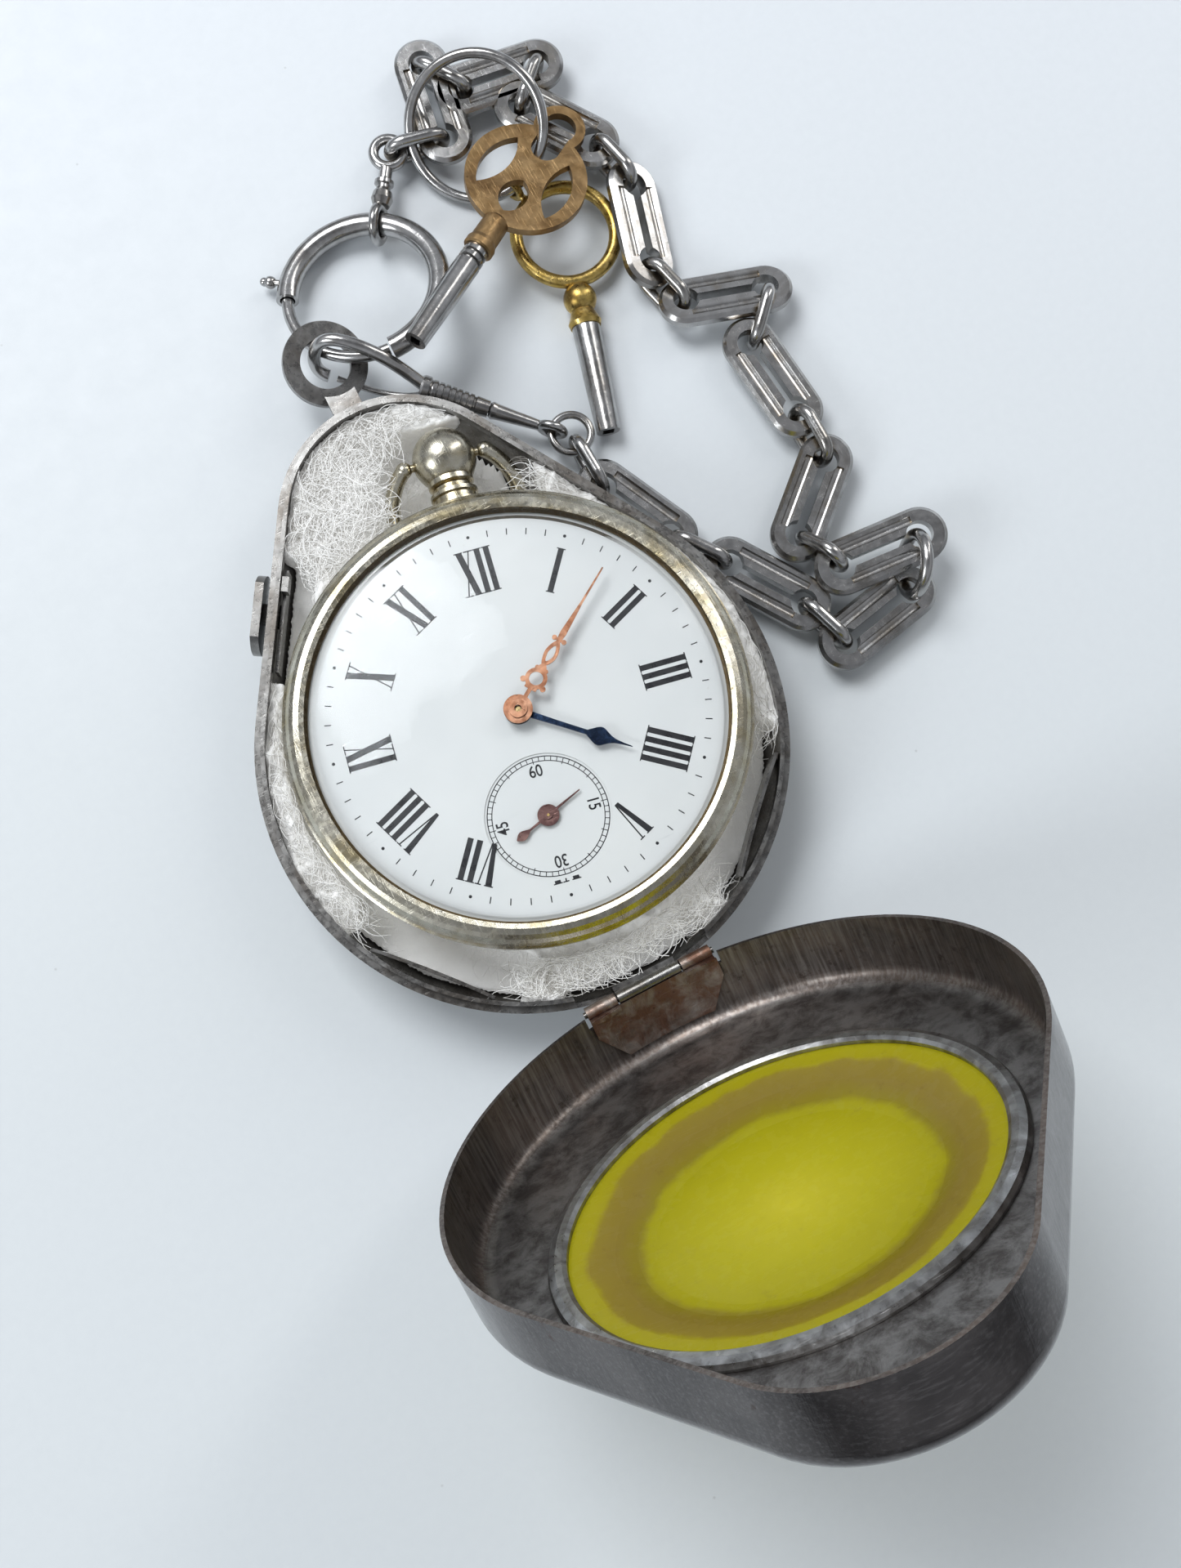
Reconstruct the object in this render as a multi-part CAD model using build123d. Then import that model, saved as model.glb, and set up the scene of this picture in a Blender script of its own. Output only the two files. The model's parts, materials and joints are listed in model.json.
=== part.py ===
from build123d import *
import math
import os

os.makedirs("parts", exist_ok=True)

# ---------------------------------------------------------------- driving dimensions (mm)
TRAY_R, NECK_D, NECK_R = 28.0, 27.37, 13.63      # case outline: hull of a big circle and a neck circle
WALL, LID_WALL = 0.5, 0.45                       # pressed steel sheet
TRAY_CORNER = 8.0                                # large rounded bottom edge of the tray
Z_SHOULDER, Z_RIM = 9.0, 10.0                    # shoulder that the lid rests on, top of the collar
COLLAR_IN, COLLAR_WALL = 0.75, 0.45
HINGE_Y, HINGE_Z, KNUCKLE_R, PIN_R = -28.0, 9.35, 0.75, 0.35
LID_H, LID_CORNER = 7.0, 2.2                     # lid top above the rim, outer corner radius
LID_OPEN = 113.9                                 # degrees that the lid stands open
WIN_Y, WIN_R = 4.73, 19.9                        # window centre towards the neck, visible radius

WATCH_O = (0.60, 2.53, 13.20)                    # centre of the dial's face
WATCH_TX, WATCH_TY, WATCH_PS = -0.0659, -0.0088, -0.1968   # tilt and turn of the watch in the tray (rad)
BAND_R, BEZEL_R, DIAL_R = 23.9, 24.2, 21.9
SUB_V, SUB_R = -11.15, 6.5                       # seconds dial
PENDANT_V, BALL_R, BALL_W = 29.8, 3.45, -3.2     # crown ball
BOW_R, BOW_T, BOW_HALF, BOW_FOLD = 7.0, 0.85, 4.5, 31.0
# train: teeth and modules
Z_BARREL, Z_CPIN, M0 = 72, 12, 0.21
Z_CENTER, Z_TPIN, M1 = 64, 8, 0.19
Z_THIRD, Z_FPIN, M2 = 60, 8, 0.17
Z_FOURTH, Z_EPIN, M3 = 60, 6, 0.14
Z_CANNON, Z_MINW, MA = 12, 36, 0.17
Z_MINP, Z_HOUR = 10, 40
MB = (Z_CANNON + Z_MINW) * MA / (Z_MINP + Z_HOUR)
# chain
LINK_L, LINK_W, LINK_T, HOLE_R, HOLE_C = 15.4, 6.2, 1.5, 1.5, 3.1
WIRE_R, SHORT_C, SHORT_H = 0.7, 6.4, 1.75        # short oval link: wire radius, end arc spacing, half height of the wire centre line
CHAIN_Z = 2.55

C3 = (Align.CENTER, Align.CENTER, Align.MIN)


# ---------------------------------------------------------------- helpers
def cyl(r, h, z=0.0, x=0.0, y=0.0):
    return Pos(x, y, z) * Cylinder(r, h, align=C3)


def tube(ro, ri, z0, z1, x=0.0, y=0.0):
    return cyl(ro, z1 - z0, z0, x, y) - cyl(ri, z1 - z0 + 2, z0 - 1, x, y)


def box(x0, x1, y0, y1, z0, z1):
    return Pos((x0 + x1) / 2, (y0 + y1) / 2, (z0 + z1) / 2) * Box(x1 - x0, y1 - y0, z1 - z0)


def lathe(pts):
    return revolve(Plane.XZ * make_face(Polyline(*pts, close=True)), Axis.Z)


def tear(e=0.0):
    """case outline offset by e"""
    R, r, d = TRAY_R + e, NECK_R + e, NECK_D
    a = math.asin((R - r) / d)
    p1, p2 = (R * math.cos(a), R * math.sin(a)), (r * math.cos(a), d + r * math.sin(a))
    q1, q2 = (-p1[0], p1[1]), (-p2[0], p2[1])
    return make_face([ThreePointArc(q1, (0, -R), p1), Line(p1, p2), ThreePointArc(p2, (0, d + r), q2), Line(q2, q1)])


def slab(e, z0, z1):
    return Pos(0, 0, z0) * extrude(tear(e), z1 - z0)


def rounded_slab(e, z0, z1, rad, top=False):
    s = slab(e, z0, z1)
    z = z1 if top else z0
    return fillet(s.edges().filter_by_position(Axis.Z, z - 1e-4, z + 1e-4), rad)


def rot_vec(v, k, ang):
    n = math.sqrt(sum(c * c for c in k))
    k = [c / n for c in k]
    c, s = math.cos(ang), math.sin(ang)
    cr = (k[1] * v[2] - k[2] * v[1], k[2] * v[0] - k[0] * v[2], k[0] * v[1] - k[1] * v[0])
    d = sum(a * b for a, b in zip(k, v))
    return tuple(v[i] * c + cr[i] * s + k[i] * d * (1 - c) for i in range(3))


def frame(o, x_dir, z_dir):
    return Plane(origin=o, x_dir=x_dir, z_dir=z_dir).location


def along(p, q, up=(0, 0, 1)):
    """a frame at p whose Z points to q"""
    d = [b - a for a, b in zip(p, q)]
    n = math.sqrt(sum(c * c for c in d))
    d = [c / n for c in d]
    t = sum(a * b for a, b in zip(d, up))
    x = [u - t * c for u, c in zip(up, d)]
    return Plane(origin=p, x_dir=tuple(x), z_dir=tuple(d)).location, n


def gear(z, m, w0, w1, bore=0.0, phase=0.0, fill=0.40, add=0.95, ded=1.30, rim=None, spokes=0):
    """wheel or pinion: radial-sided teeth with rounded-off tips, tooth width `fill` of the pitch"""
    r = z * m / 2
    ro, ri = r + add * m, r - ded * m
    p = 2 * math.pi / z
    pts = []
    for i in range(z):
        c = phase + i * p
        for rr, k in ((ri, -fill * 0.60), (r, -fill * 0.5), (ro, -fill * 0.22), (ro, fill * 0.22), (r, fill * 0.5), (ri, fill * 0.60)):
            a = c + k * p
            pts.append((rr * math.cos(a), rr * math.sin(a)))
    g = extrude(make_face(Polyline(*pts, close=True)), w1 - w0)
    g = Pos(0, 0, w0) * g
    if rim:
        inner = ri - rim
        g = g - cyl(inner, w1 - w0 + 2, w0 - 1)
        hub = max(bore + 0.5, inner * 0.22)
        g = g + tube(hub, bore, w0, w1) if bore else g + cyl(hub, w1 - w0, w0)
        for i in range(spokes):
            a = 360 * i / spokes + math.degrees(phase)
            arm = box(hub * 0.9 if not bore else bore + 0.2, inner + rim * 0.5, -0.24, 0.24, w0, w1)
            g = g + Rot(0, 0, a) * arm
    elif bore:
        g = g - cyl(bore, w1 - w0 + 2, w0 - 1)
    return g


def torus_arc(R, t, a0, a1):
    """bent round bar from angle a0 to a1 (deg) in XY"""
    if a1 - a0 >= 359.99:
        return Torus(R, t)
    path = CenterArc((0, 0, 0), R, a0, a1 - a0)
    pl = Plane(origin=path @ 0, z_dir=path % 0)
    return sweep(pl * Circle(t), path)


def one(s):
    """first solid of a shape, when only one is meant"""
    so = s.solids()
    return so[0] if len(so) == 1 else s


NODES = {}


def put(name, *shapes):
    solids = []
    for s in shapes:
        solids += list(s.solids())
    NODES[name] = solids


# ================================================================ protective case: tray
outer = rounded_slab(0, 0, Z_SHOULDER, TRAY_CORNER)
inner = rounded_slab(-WALL, WALL, Z_SHOULDER + 2, TRAY_CORNER - WALL)
tray = outer - inner
tray += slab(0, Z_SHOULDER - 0.5, Z_SHOULDER) - slab(-COLLAR_IN - COLLAR_WALL, Z_SHOULDER - 2, Z_SHOULDER + 1)
tray += slab(-COLLAR_IN, Z_SHOULDER - 0.1, Z_RIM) - slab(-COLLAR_IN - COLLAR_WALL, Z_SHOULDER - 2, Z_RIM + 1)
tray -= box(-7.6, 7.6, -29.5, -25.4, Z_SHOULDER - 0.95, Z_RIM + 1)
TAB_Y = 29.8                                     # thumb catch station on the left tangent wall
ang = math.asin((TRAY_R - NECK_R) / NECK_D)
# left tangent wall: direction and outward normal
WN = (-math.cos(ang), math.sin(ang))             # outward normal of the left straight wall
WD = (math.sin(ang), math.cos(ang))              # towards the neck


def wall_pt(s, off=0.0):
    """point on the left straight wall, s mm from its lower tangent point, off mm outward"""
    x0, y0 = -TRAY_R * math.cos(ang), TRAY_R * math.sin(ang)
    return (x0 + WD[0] * s + WN[0] * off, y0 + WD[1] * s + WN[1] * off)


wl = lambda s, off, z: frame((*wall_pt(s, off), z), (WD[0], WD[1], 0), (0, 0, 1))   # local x along wall, y = inward? (z up)
CATCH_S = 12.0
slot = wl(CATCH_S, 0, 6.4) * Box(2.6, 4.0, 2.4)
tray -= slot
put("case_tray", tray)

# hanger ring brazed flat on the neck end
HANG = (0.05, 48.1, 4.96)
HANG_R, HANG_T, HANG_B = 3.75, 0.9, 0.95         # centre-line radius, thickness, half band
TAN = (0.636, -0.7715)                           # the bolt wire crosses the ring this way
hang_loc = frame(HANG, (TAN[0], TAN[1], -0.30), (0.30 * TAN[0], 0.30 * TAN[1], 1.0))
hr = hang_loc * (Pos(0, 0, -HANG_T / 2) * (Cylinder(HANG_R + HANG_B, HANG_T, align=C3) - Cylinder(HANG_R - HANG_B, HANG_T, align=C3)))
lug = box(-1.7, 1.7, 39.4, 44.6, 4.6, 5.9)
lug -= rounded_slab(0, 0, Z_SHOULDER, TRAY_CORNER)
lug -= hang_loc * (Pos(0, 0, -3) * Cylinder(HANG_R + 0.2, 6, align=C3))
hr = hr + lug
put("hanger_ring", hr)

# hinge
kn = Pos(0, HINGE_Y, HINGE_Z) * Rot(0, 90, 0) * (Cylinder(KNUCKLE_R, 7.1) - Cylinder(PIN_R + 0.05, 9))
strap = box(-3.5, 3.5, -27.9, -26.72, 8.35, 8.7) + box(-3.5, 3.5, -27.12, -26.72, 5.4, 8.7)
strap -= slab(60, -1, 20) - slab(-WALL, -2, 21)
kn2 = kn + box(-3.5, 3.5, -28.3, -27.2, 8.3, 8.8) - Pos(0, HINGE_Y, HINGE_Z) * Rot(0, 90, 0) * Cylinder(PIN_R + 0.05, 9)
put("tray_knuckle", (kn2 + strap) - (tray))
put("hinge_pin", Pos(0, HINGE_Y, HINGE_Z) * Rot(0, 90, 0) * Cylinder(PIN_R, 14.9))

# ================================================================ lid, modelled closed, then swung open
lid = rounded_slab(0, Z_SHOULDER + 0.15, Z_RIM + LID_H, LID_CORNER, top=True)
lid -= rounded_slab(-LID_WALL, 0, Z_RIM + LID_H - LID_WALL, LID_CORNER - LID_WALL, top=True)
lid -= Pos(0, WIN_Y, 0) * Cylinder(WIN_R + 1.25, 60)
lid -= box(-7.6, 7.6, -29.5, -26.0, 0, HINGE_Z + 1.0)
ZT = Z_RIM + LID_H
bead = Pos(0, WIN_Y, 0) * lathe([(WIN_R, ZT - 1.0), (WIN_R + 0.35, ZT - 1.28), (WIN_R + 1.0, ZT - 1.33), (WIN_R + 1.65, ZT - 1.12), (WIN_R + 1.9, ZT - 0.72),
                                 (WIN_R + 1.9, ZT - 0.47), (WIN_R + 1.22, ZT - 0.47), (WIN_R + 1.22, ZT + 0.05), (WIN_R + 0.95, ZT + 0.3), (WIN_R + 0.3, ZT + 0.3),
                                 (WIN_R, ZT + 0.1), (WIN_R, ZT - 0.12), (WIN_R + 0.75, ZT - 0.12), (WIN_R + 0.75, ZT - 0.62), (WIN_R, ZT - 0.62)])
w0 = ZT - 0.57
win_out = [(WIN_R + 0.7, w0 + 0.38), (WIN_R - 0.3, w0 + 0.38), (18.2, w0 + 0.62), (16.0, w0 + 1.25), (14.2, w0 + 2.0), (12.5, w0 + 2.28), (7.0, w0 + 2.5), (0, w0 + 2.6)]
win_in = [(0, w0 + 2.2), (7.0, w0 + 2.1), (12.4, w0 + 1.88), (14.0, w0 + 1.62), (15.8, w0 + 0.88), (18.1, w0 + 0.22), (WIN_R - 0.3, w0), (WIN_R + 0.7, w0)]
window = Pos(0, WIN_Y, 0) * lathe(win_out + win_in)
leaf = tube(27.5, 27.15, 9.6, 15.4)
wedge = Plane.XZ * make_face(Polyline((-7.2, 9.5), (7.2, 9.5), (7.2, 11.6), (4.9, 15.0), (-4.9, 15.0), (-7.2, 11.6), close=True))
leaf = leaf & (Pos(0, -20, 0) * extrude(wedge, 12))
for sx in (-1, 1):
    k = Pos(sx * 5.45, HINGE_Y, HINGE_Z) * Rot(0, 90, 0) * Cylinder(KNUCKLE_R, 3.4)
    web = box(sx * 5.45 - 1.7, sx * 5.45 + 1.7, HINGE_Y, -26.25, 9.65, 10.05) & tube(28.2, 26.9, 9, 11)
    leaf = leaf + (k + web)
leaf -= Pos(0, HINGE_Y, HINGE_Z) * Rot(0, 90, 0) * Cylinder(PIN_R + 0.05, 20)
leaf -= Pos(0, HINGE_Y, HINGE_Z) * Rot(0, 90, 0) * Cylinder(KNUCKLE_R + 0.12, 7.4)
swing = Pos(0, HINGE_Y, HINGE_Z) * Rot(LID_OPEN, 0, 0) * Pos(0, -HINGE_Y, -HINGE_Z)
put("lid_shell", swing * lid)
put("lid_hinge_leaf", swing * (leaf - lid))
put("window_bead_ring", swing * bead)
put("celluloid_window", swing * window)

# ================================================================ catch spring and thumb tab, inward leaf clips
cs = wl(CATCH_S - 1.0, -1.55, 7.2) * Box(11.0, 0.35, 2.6)
hook = wl(CATCH_S + 2.6, -1.75, 9.3) * Box(1.6, 0.7, 1.8) + wl(CATCH_S + 2.6, -1.55, 8.2) * Box(1.6, 0.35, 1.4)
spring = cs + hook
put("catch_spring", spring)
tabdisc = wl(CATCH_S, 1.15, 5.6) * (Rot(90, 0, 0) * Cylinder(4.3, 0.9)) - box(-60, 60, -60, 60, -20, 1.6)
tabdisc -= wl(CATCH_S, 1.15, 9.95) * Box(12, 3, 2.4)
stem = wl(CATCH_S, -0.3, 6.4) * Box(2.0, 2.1, 1.6)
put("thumb_tab", tabdisc + stem)


def clip(a_mid, span, n_in):
    """bowed leaf riveted at its two ends inside the round wall, bellied inward"""
    r0 = TRAY_R - WALL - 1.15
    h0, h1 = 5.0, 9.3
    half = math.radians(span / 2)
    p0 = (r0 * math.cos(-half), r0 * math.sin(-half))
    p1 = (r0 * math.cos(half), r0 * math.sin(half))
    chord = ThreePointArc(p0, (r0 * math.cos(half) - n_in, 0), p1)
    t = 0.35
    q0 = (p0[0] + t, p0[1])
    q1 = (p1[0] + t, p1[1])
    chord2 = ThreePointArc(q0, (r0 * math.cos(half) - n_in + t, 0), q1)
    f = make_face([chord, Line(p1, q1), chord2, Line(q0, p0)])
    return Rot(0, 0, a_mid) * (Pos(0, 0, h0) * extrude(f, h1 - h0))


put("retaining_clips", clip(-138.5, 30, 0.2), clip(-44.0, 30, 0.2))

# ================================================================ the watch, in its own frame
xd = rot_vec((math.cos(WATCH_PS), math.sin(WATCH_PS), 0), (WATCH_TX, WATCH_TY, 0), math.hypot(WATCH_TX, WATCH_TY))
zd = rot_vec((0, 0, 1), (WATCH_TX, WATCH_TY, 0), math.hypot(WATCH_TX, WATCH_TY))
WL = frame(WATCH_O, xd, zd)

band = lathe([(20.7, -0.85), (22.9, -0.85), (22.9, -1.28), (23.75, -1.34), (23.9, -1.9), (23.95, -3.0), (23.9, -4.2), (23.6, -5.2), (23.35, -5.6), (23.35, -5.85),
              (22.6, -5.85), (22.6, -6.35), (21.3, -6.35), (21.3, -5.75), (20.7, -5.75)])
neckhole = Pos(0, 0, BALL_W) * Rot(-90, 0, 0) * Cylinder(1.0, 27, align=C3)
neck = Pos(0, 0, BALL_W) * Rot(-90, 0, 0) * lathe([(0, 22.5), (1.85, 22.5), (1.85, 24.3), (2.6, 24.32), (2.6, 24.6), (2.35, 24.6), (2.35, 25.2), (2.6, 25.4), (2.6, 25.8), (2.05, 26.05), (2.05, 26.45), (0, 26.45)])
band = band + neck
band -= cyl(20.7, 10, -7)
put("watch_band", WL * band)
ball = Pos(0, PENDANT_V, BALL_W) * Rot(0, 0, 45) * Sphere(BALL_R)
ball = ball - Pos(0, 0, BALL_W) * Rot(-90, 0, 0) * Cylinder(10, 26.75, align=C3)
collar = Pos(0, 0, BALL_W) * Rot(-90, 0, 0) * lathe([(0, 26.47), (1.9, 26.47), (2.5, 26.75), (2.5, 27.3), (0, 27.3)])
ball = ball + collar
for sx in (-1, 1):
    ball -= Pos(sx * 3.2, PENDANT_V, BALL_W) * Rot(0, 90, 0) * Cylinder(0.65, 2.4)
put("pendant_ball", WL * ball)

bc = math.sqrt(BOW_R ** 2 - BOW_HALF ** 2)
a_gap = math.degrees(math.asin(BOW_HALF / BOW_R))
bow = Pos(0, -bc, 0) * torus_arc(BOW_R, BOW_T, 90 + a_gap, 450 - a_gap)
for sx in (-1, 1):
    bow = bow + Pos(sx * BOW_HALF, 0, 0) * Sphere(0.9)
    bow = bow + Pos(sx * 3.5, 0, 0) * Rot(0, 90, 0) * Cylinder(0.45, 1.1)
bow_loc = Pos(0, PENDANT_V, BALL_W) * Rot(BOW_FOLD, 0, 0)
put("watch_bow", WL * (bow_loc * bow))

back = lathe([(0, -7.75), (9, -7.68), (16, -7.45), (20.5, -7.12), (22.9, -6.75), (23.35, -6.35), (23.35, -5.92), (22.66, -5.92), (22.66, -6.5), (20.2, -6.8), (15.8, -7.12), (9, -7.35), (0, -7.42)])
put("back_cover", WL * back)
cuv = cyl(21.25, 0.25, -6.5)
cuv -= cyl(1.5, 2, -7)
cuv -= cyl(1.6, 2, -7, 4.41, 7.64)
cuv = cuv + tube(21.25, 20.75, -6.5, -5.8)
put("dust_cover", WL * cuv)

bezel = lathe([(22.95, -1.22), (24.0, -1.22), (24.2, -0.85), (24.2, -0.35), (23.95, -0.2), (23.95, 0.15), (23.75, 0.3), (23.35, 0.75), (22.9, 1.05), (22.3, 1.2), (21.78, 1.12),
               (21.78, 0.34), (21.5, 0.3), (21.5, 0.12), (22.95, 0.12)])
put("bezel", WL * bezel)
crystal = lathe([(0, 3.6), (6, 3.5), (11, 3.2), (15, 2.78), (18, 2.35), (20, 1.95), (21.1, 1.6), (21.6, 1.25), (21.72, 0.9), (21.72, 0.36), (20.9, 0.36),
                 (20.9, 0.9), (20.4, 1.35), (19, 1.65), (17.3, 1.95), (14, 2.3), (10, 2.6), (5, 2.85), (0, 2.9)])
put("crystal", WL * crystal)
dial = cyl(DIAL_R, 0.8, -0.8) - cyl(1.15, 3, -2) - cyl(0.5, 3, -2, 0, SUB_V)
dial -= cyl(SUB_R, 0.12, -0.12, 0, SUB_V) - cyl(0.9, 1, -0.5, 0, SUB_V)
put("dial", WL * (Pos(0, 0, -0.02) * dial))


# hands -----------------------------------------------------------
def flat(face, z0, t):
    return Pos(0, 0, z0) * extrude(face, t)


def blade(pts):
    return make_face(Polyline(*pts, close=True))


def ring_face(cx, cy, ro, ri):
    return Pos(cx, cy) * (Circle(ro) - Circle(ri))


MIN_W, HOUR_W, SEC_W = 1.45, 0.72, 0.18
m = Circle(1.5) + Pos(0, 2.05) * Rectangle(0.42, 1.4)
m += ring_face(0, 3.65, 1.15, 0.72) + Pos(0, 2.55) * Rectangle(1.3, 0.34) + Pos(-1.15, 3.0) * Circle(0.3) + Pos(1.15, 3.0) * Circle(0.3)
m += Pos(0, 4.95) * Circle(0.42) + Pos(-0.5, 4.75) * Circle(0.24) + Pos(0.5, 4.75) * Circle(0.24)
el = make_face(Spline((0, 5.2), (0.62, 6.1), (0.66, 7.0), (0, 8.25), (-0.66, 7.0), (-0.62, 6.1), periodic=True))
el2 = make_face(Spline((0, 5.75), (0.30, 6.25), (0.32, 6.95), (0, 7.6), (-0.32, 6.95), (-0.30, 6.25), periodic=True))
m += el - el2
m += Pos(0, 8.35) * Circle(0.3) + Pos(-0.55, 8.35) * Circle(0.26) + Pos(0.55, 8.35) * Circle(0.26) + Pos(0, 8.35) * Rectangle(1.0, 0.24)
m += blade([(-0.26, 8.4), (-0.34, 9.2), (-0.12, 13.0), (-0.07, 17.3), (0.07, 17.3), (0.12, 13.0), (0.34, 9.2), (0.26, 8.4)])
mh = flat(m, MIN_W, 0.2) + tube(0.95, 0.36, MIN_W, MIN_W + 0.42)
mh -= cyl(0.36, 3, 0.5)
MIN_A, HOUR_A, SEC_A = -46.0, -124.0, -66.0
put("minute_hand", WL * (Rot(0, 0, MIN_A) * mh))
h = Circle(1.45) + blade([(-0.34, 0.8), (-0.26, 4.0), (-0.24, 8.0), (0.24, 8.0), (0.26, 4.0), (0.34, 0.8)])
tear_h = [(7.15, 0.1), (7.45, 0.33), (7.8, 0.55), (8.15, 0.78), (8.5, 0.94), (8.8, 0.97), (9.1, 0.86), (9.5, 0.6), (9.9, 0.37), (10.4, 0.2), (11.2, 0.1), (12.2, 0.03)]
h += blade([(x, y) for y, x in tear_h] + [(-x, y) for y, x in tear_h[::-1]])
hh = flat(h, HOUR_W, 0.2) - cyl(0.955, 3, -0.5)
put("hour_hand", WL * (Rot(0, 0, HOUR_A) * hh))
s = Circle(1.12) + blade([(-0.14, 0.6), (-0.06, 4.1), (0.06, 4.1), (0.14, 0.6)]) + blade([(-0.13, -0.8), (-0.10, -2.6), (0.10, -2.6), (0.13, -0.8)])
tear_s = [(-2.3, 0.06), (-2.6, 0.2), (-2.9, 0.35), (-3.2, 0.47), (-3.45, 0.48), (-3.7, 0.38), (-3.9, 0.22), (-4.1, 0.06)]
s += blade([(x, y) for y, x in tear_s] + [(-x, y) for y, x in tear_s[::-1]])
sh = flat(s, SEC_W, 0.16) + tube(0.42, 0.17, SEC_W, SEC_W + 0.3) - cyl(0.165, 2, -0.5)
put("seconds_hand", WL * (Pos(0, SUB_V, 0) * Rot(0, 0, SEC_A) * sh))

# movement --------------------------------------------------------
D0, D1, D2, D3, DM = (Z_BARREL + Z_CPIN) * M0 / 2, (Z_CENTER + Z_TPIN) * M1 / 2, (Z_THIRD + Z_FPIN) * M2 / 2, (Z_FOURTH + Z_EPIN) * M3 / 2, (Z_CANNON + Z_MINW) * MA / 2
BA = math.radians(60)
P_BAR = (D0 * math.cos(BA), D0 * math.sin(BA))
v3 = -(D1 ** 2 - D2 ** 2 + SUB_V ** 2) / (2 * abs(SUB_V))
P_3 = (math.sqrt(D1 ** 2 - v3 ** 2), v3)
P_4 = (0.0, SUB_V)
EA = math.radians(200)
P_E = (P_4[0] + D3 * math.cos(EA), P_4[1] + D3 * math.sin(EA))
P_B = (-11.2, -5.6)
eb = math.hypot(P_B[0] - P_E[0], P_B[1] - P_E[1])
EBU = ((P_B[0] - P_E[0]) / eb, (P_B[1] - P_E[1]) / eb)
P_P = (P_E[0] + 3.55 * EBU[0], P_E[1] + 3.55 * EBU[1])
MWA = math.radians(150)
P_M = (DM * math.cos(MWA), DM * math.sin(MWA))
PLATE_R = 20.5


def mesh_phase(z1, ph1, p1, z2, p2):
    """phase of gear 2 so that a gap of it faces a tooth of gear 1 on the line of centres"""
    a = math.atan2(p2[1] - p1[1], p2[0] - p1[0])
    pit1 = 2 * math.pi / z1
    f = ((a - ph1) / pit1) % 1.0
    b = a + math.pi
    pit2 = 2 * math.pi / z2
    return b + (f + 0.5) * pit2


plate = cyl(PLATE_R, 1.2, -3.1)
holes_pl = [(0, 0, 0.62), (*P_3, 0.2), (*P_4, 0.24), (*P_E, 0.16), (*P_B, 0.16), (*P_P, 0.16), (*P_BAR, 1.05)]
for x, y, r in holes_pl:
    plate -= cyl(r, 3, -4, x, y)
stud = cyl(0.4, 1.0, -1.9, *P_M)
plate = plate + stud
plate = plate + tube(PLATE_R, 19.4, -3.6, -3.1)
put("main_plate", WL * plate)


def bridge(pts, feet, holes, z0=-5.65, z1=-5.05):
    f = make_face(Polyline(*pts, close=True))
    f = Pos(0, 0, z0) * extrude(f, z1 - z0)
    f = f & cyl(PLATE_R - 0.1, 4, -7)
    for x, y, r in feet:
        f = f + cyl(r, -3.1 - z1 + 0.05, z1 - 0.05, x, y)
    for x, y, r in holes:
        f = f - cyl(r, 6, -8, x, y)
    return f


barrel_feet = [(-3.6, 13.2, 1.3), (15.2, 3.0, 1.3), (4.4, 17.2, 1.2)]
train_feet = [(9.2, -8.6, 1.3), (6.0, -15.5, 1.3), (-1.6, -17.6, 1.2)]
cock_feet = [(-17.3, 3.2, 1.5)]
bb = bridge([(-6.5, 11.0), (-2.0, 1.4), (1.1, 1.4), (5, -0.9), (17.6, -0.9), (21, 4), (17, 16), (6, 22), (-7, 19)], barrel_feet, [(*P_BAR, 1.0)])
bb -= cyl(1.7, 4, -8)
tb = bridge([(-2.1, 1.0), (-2.1, -3.4), (-2.4, -8.8), (-7.2, -11.8), (-7.0, -19.5), (6, -21), (17, -12), (13, -2.4), (3.0, -2.4), (1.2, 1.0)], train_feet,
            [(0, 0, 0.42), (*P_3, 0.2), (*P_4, 0.2), (*P_E, 0.16), (*P_P, 0.16)])
bc_ = bridge([(-13.2, -7.8), (-9.6, -7.4), (-8.8, -4.2), (-13.4, 1.6), (-13.8, 6.4), (-20, 7.6), (-22, 0), (-16.2, -1.6)], cock_feet, [(*P_B, 0.16)], -6.2, -5.65)
put("barrel_bridge", WL * bb)
put("train_bridge", WL * tb)
put("balance_cock", WL * bc_)

# barrel with its teeth, spring inside, arbor with ratchet
ph_bar = 0.0
bar = gear(Z_BARREL, M0, -4.35, -3.8, phase=ph_bar) + cyl(6.9, 1.4, -4.98)
bar -= cyl(6.5, 1.05, -4.8)
bar -= cyl(1.02, 3, -6)
put("barrel", WL * (Pos(*P_BAR, 0) * bar))
arb = cyl(0.95, 3.5, -5.7)
sq = Pos(0, 0, -6.15) * Box(1.25, 1.25, 0.9, align=C3)
hubn = cyl(1.6, 0.85, -4.7)
arbor = arb + sq + hubn
ratchet = None
rt = []
for i in range(24):
    a = 2 * math.pi * i / 24
    rt += [(2.75 * math.cos(a), 2.75 * math.sin(a)), (3.25 * math.cos(a + 0.02), 3.25 * math.sin(a + 0.02)), (2.95 * math.cos(a + 0.15), 2.95 * math.sin(a + 0.15))]
ratchet = Pos(0, 0, -6.0) * extrude(make_face(Polyline(*rt, close=True)), 0.28)
ratchet -= Pos(0, 0, -6.5) * Box(1.29, 1.29, 2, align=C3)
put("barrel_arbor", WL * (Pos(*P_BAR, 0) * arbor), WL * (Pos(*P_BAR, 0) * ratchet))
click = make_face(Polyline((0, 0.75), (2.3, 0.35), (3.0, 0.12), (3.0, -0.1), (2.2, -0.25), (0, -0.75), close=True)) + Circle(0.75)
click = Pos(0, 0, -6.0) * extrude(click, 0.28) + cyl(0.42, 0.33, -6.0)
CL = (P_BAR[0] + 4.62, P_BAR[1] + 4.3)
cl_a = math.degrees(math.atan2(P_BAR[1] - CL[1], P_BAR[0] - CL[0])) + 0.5
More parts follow.
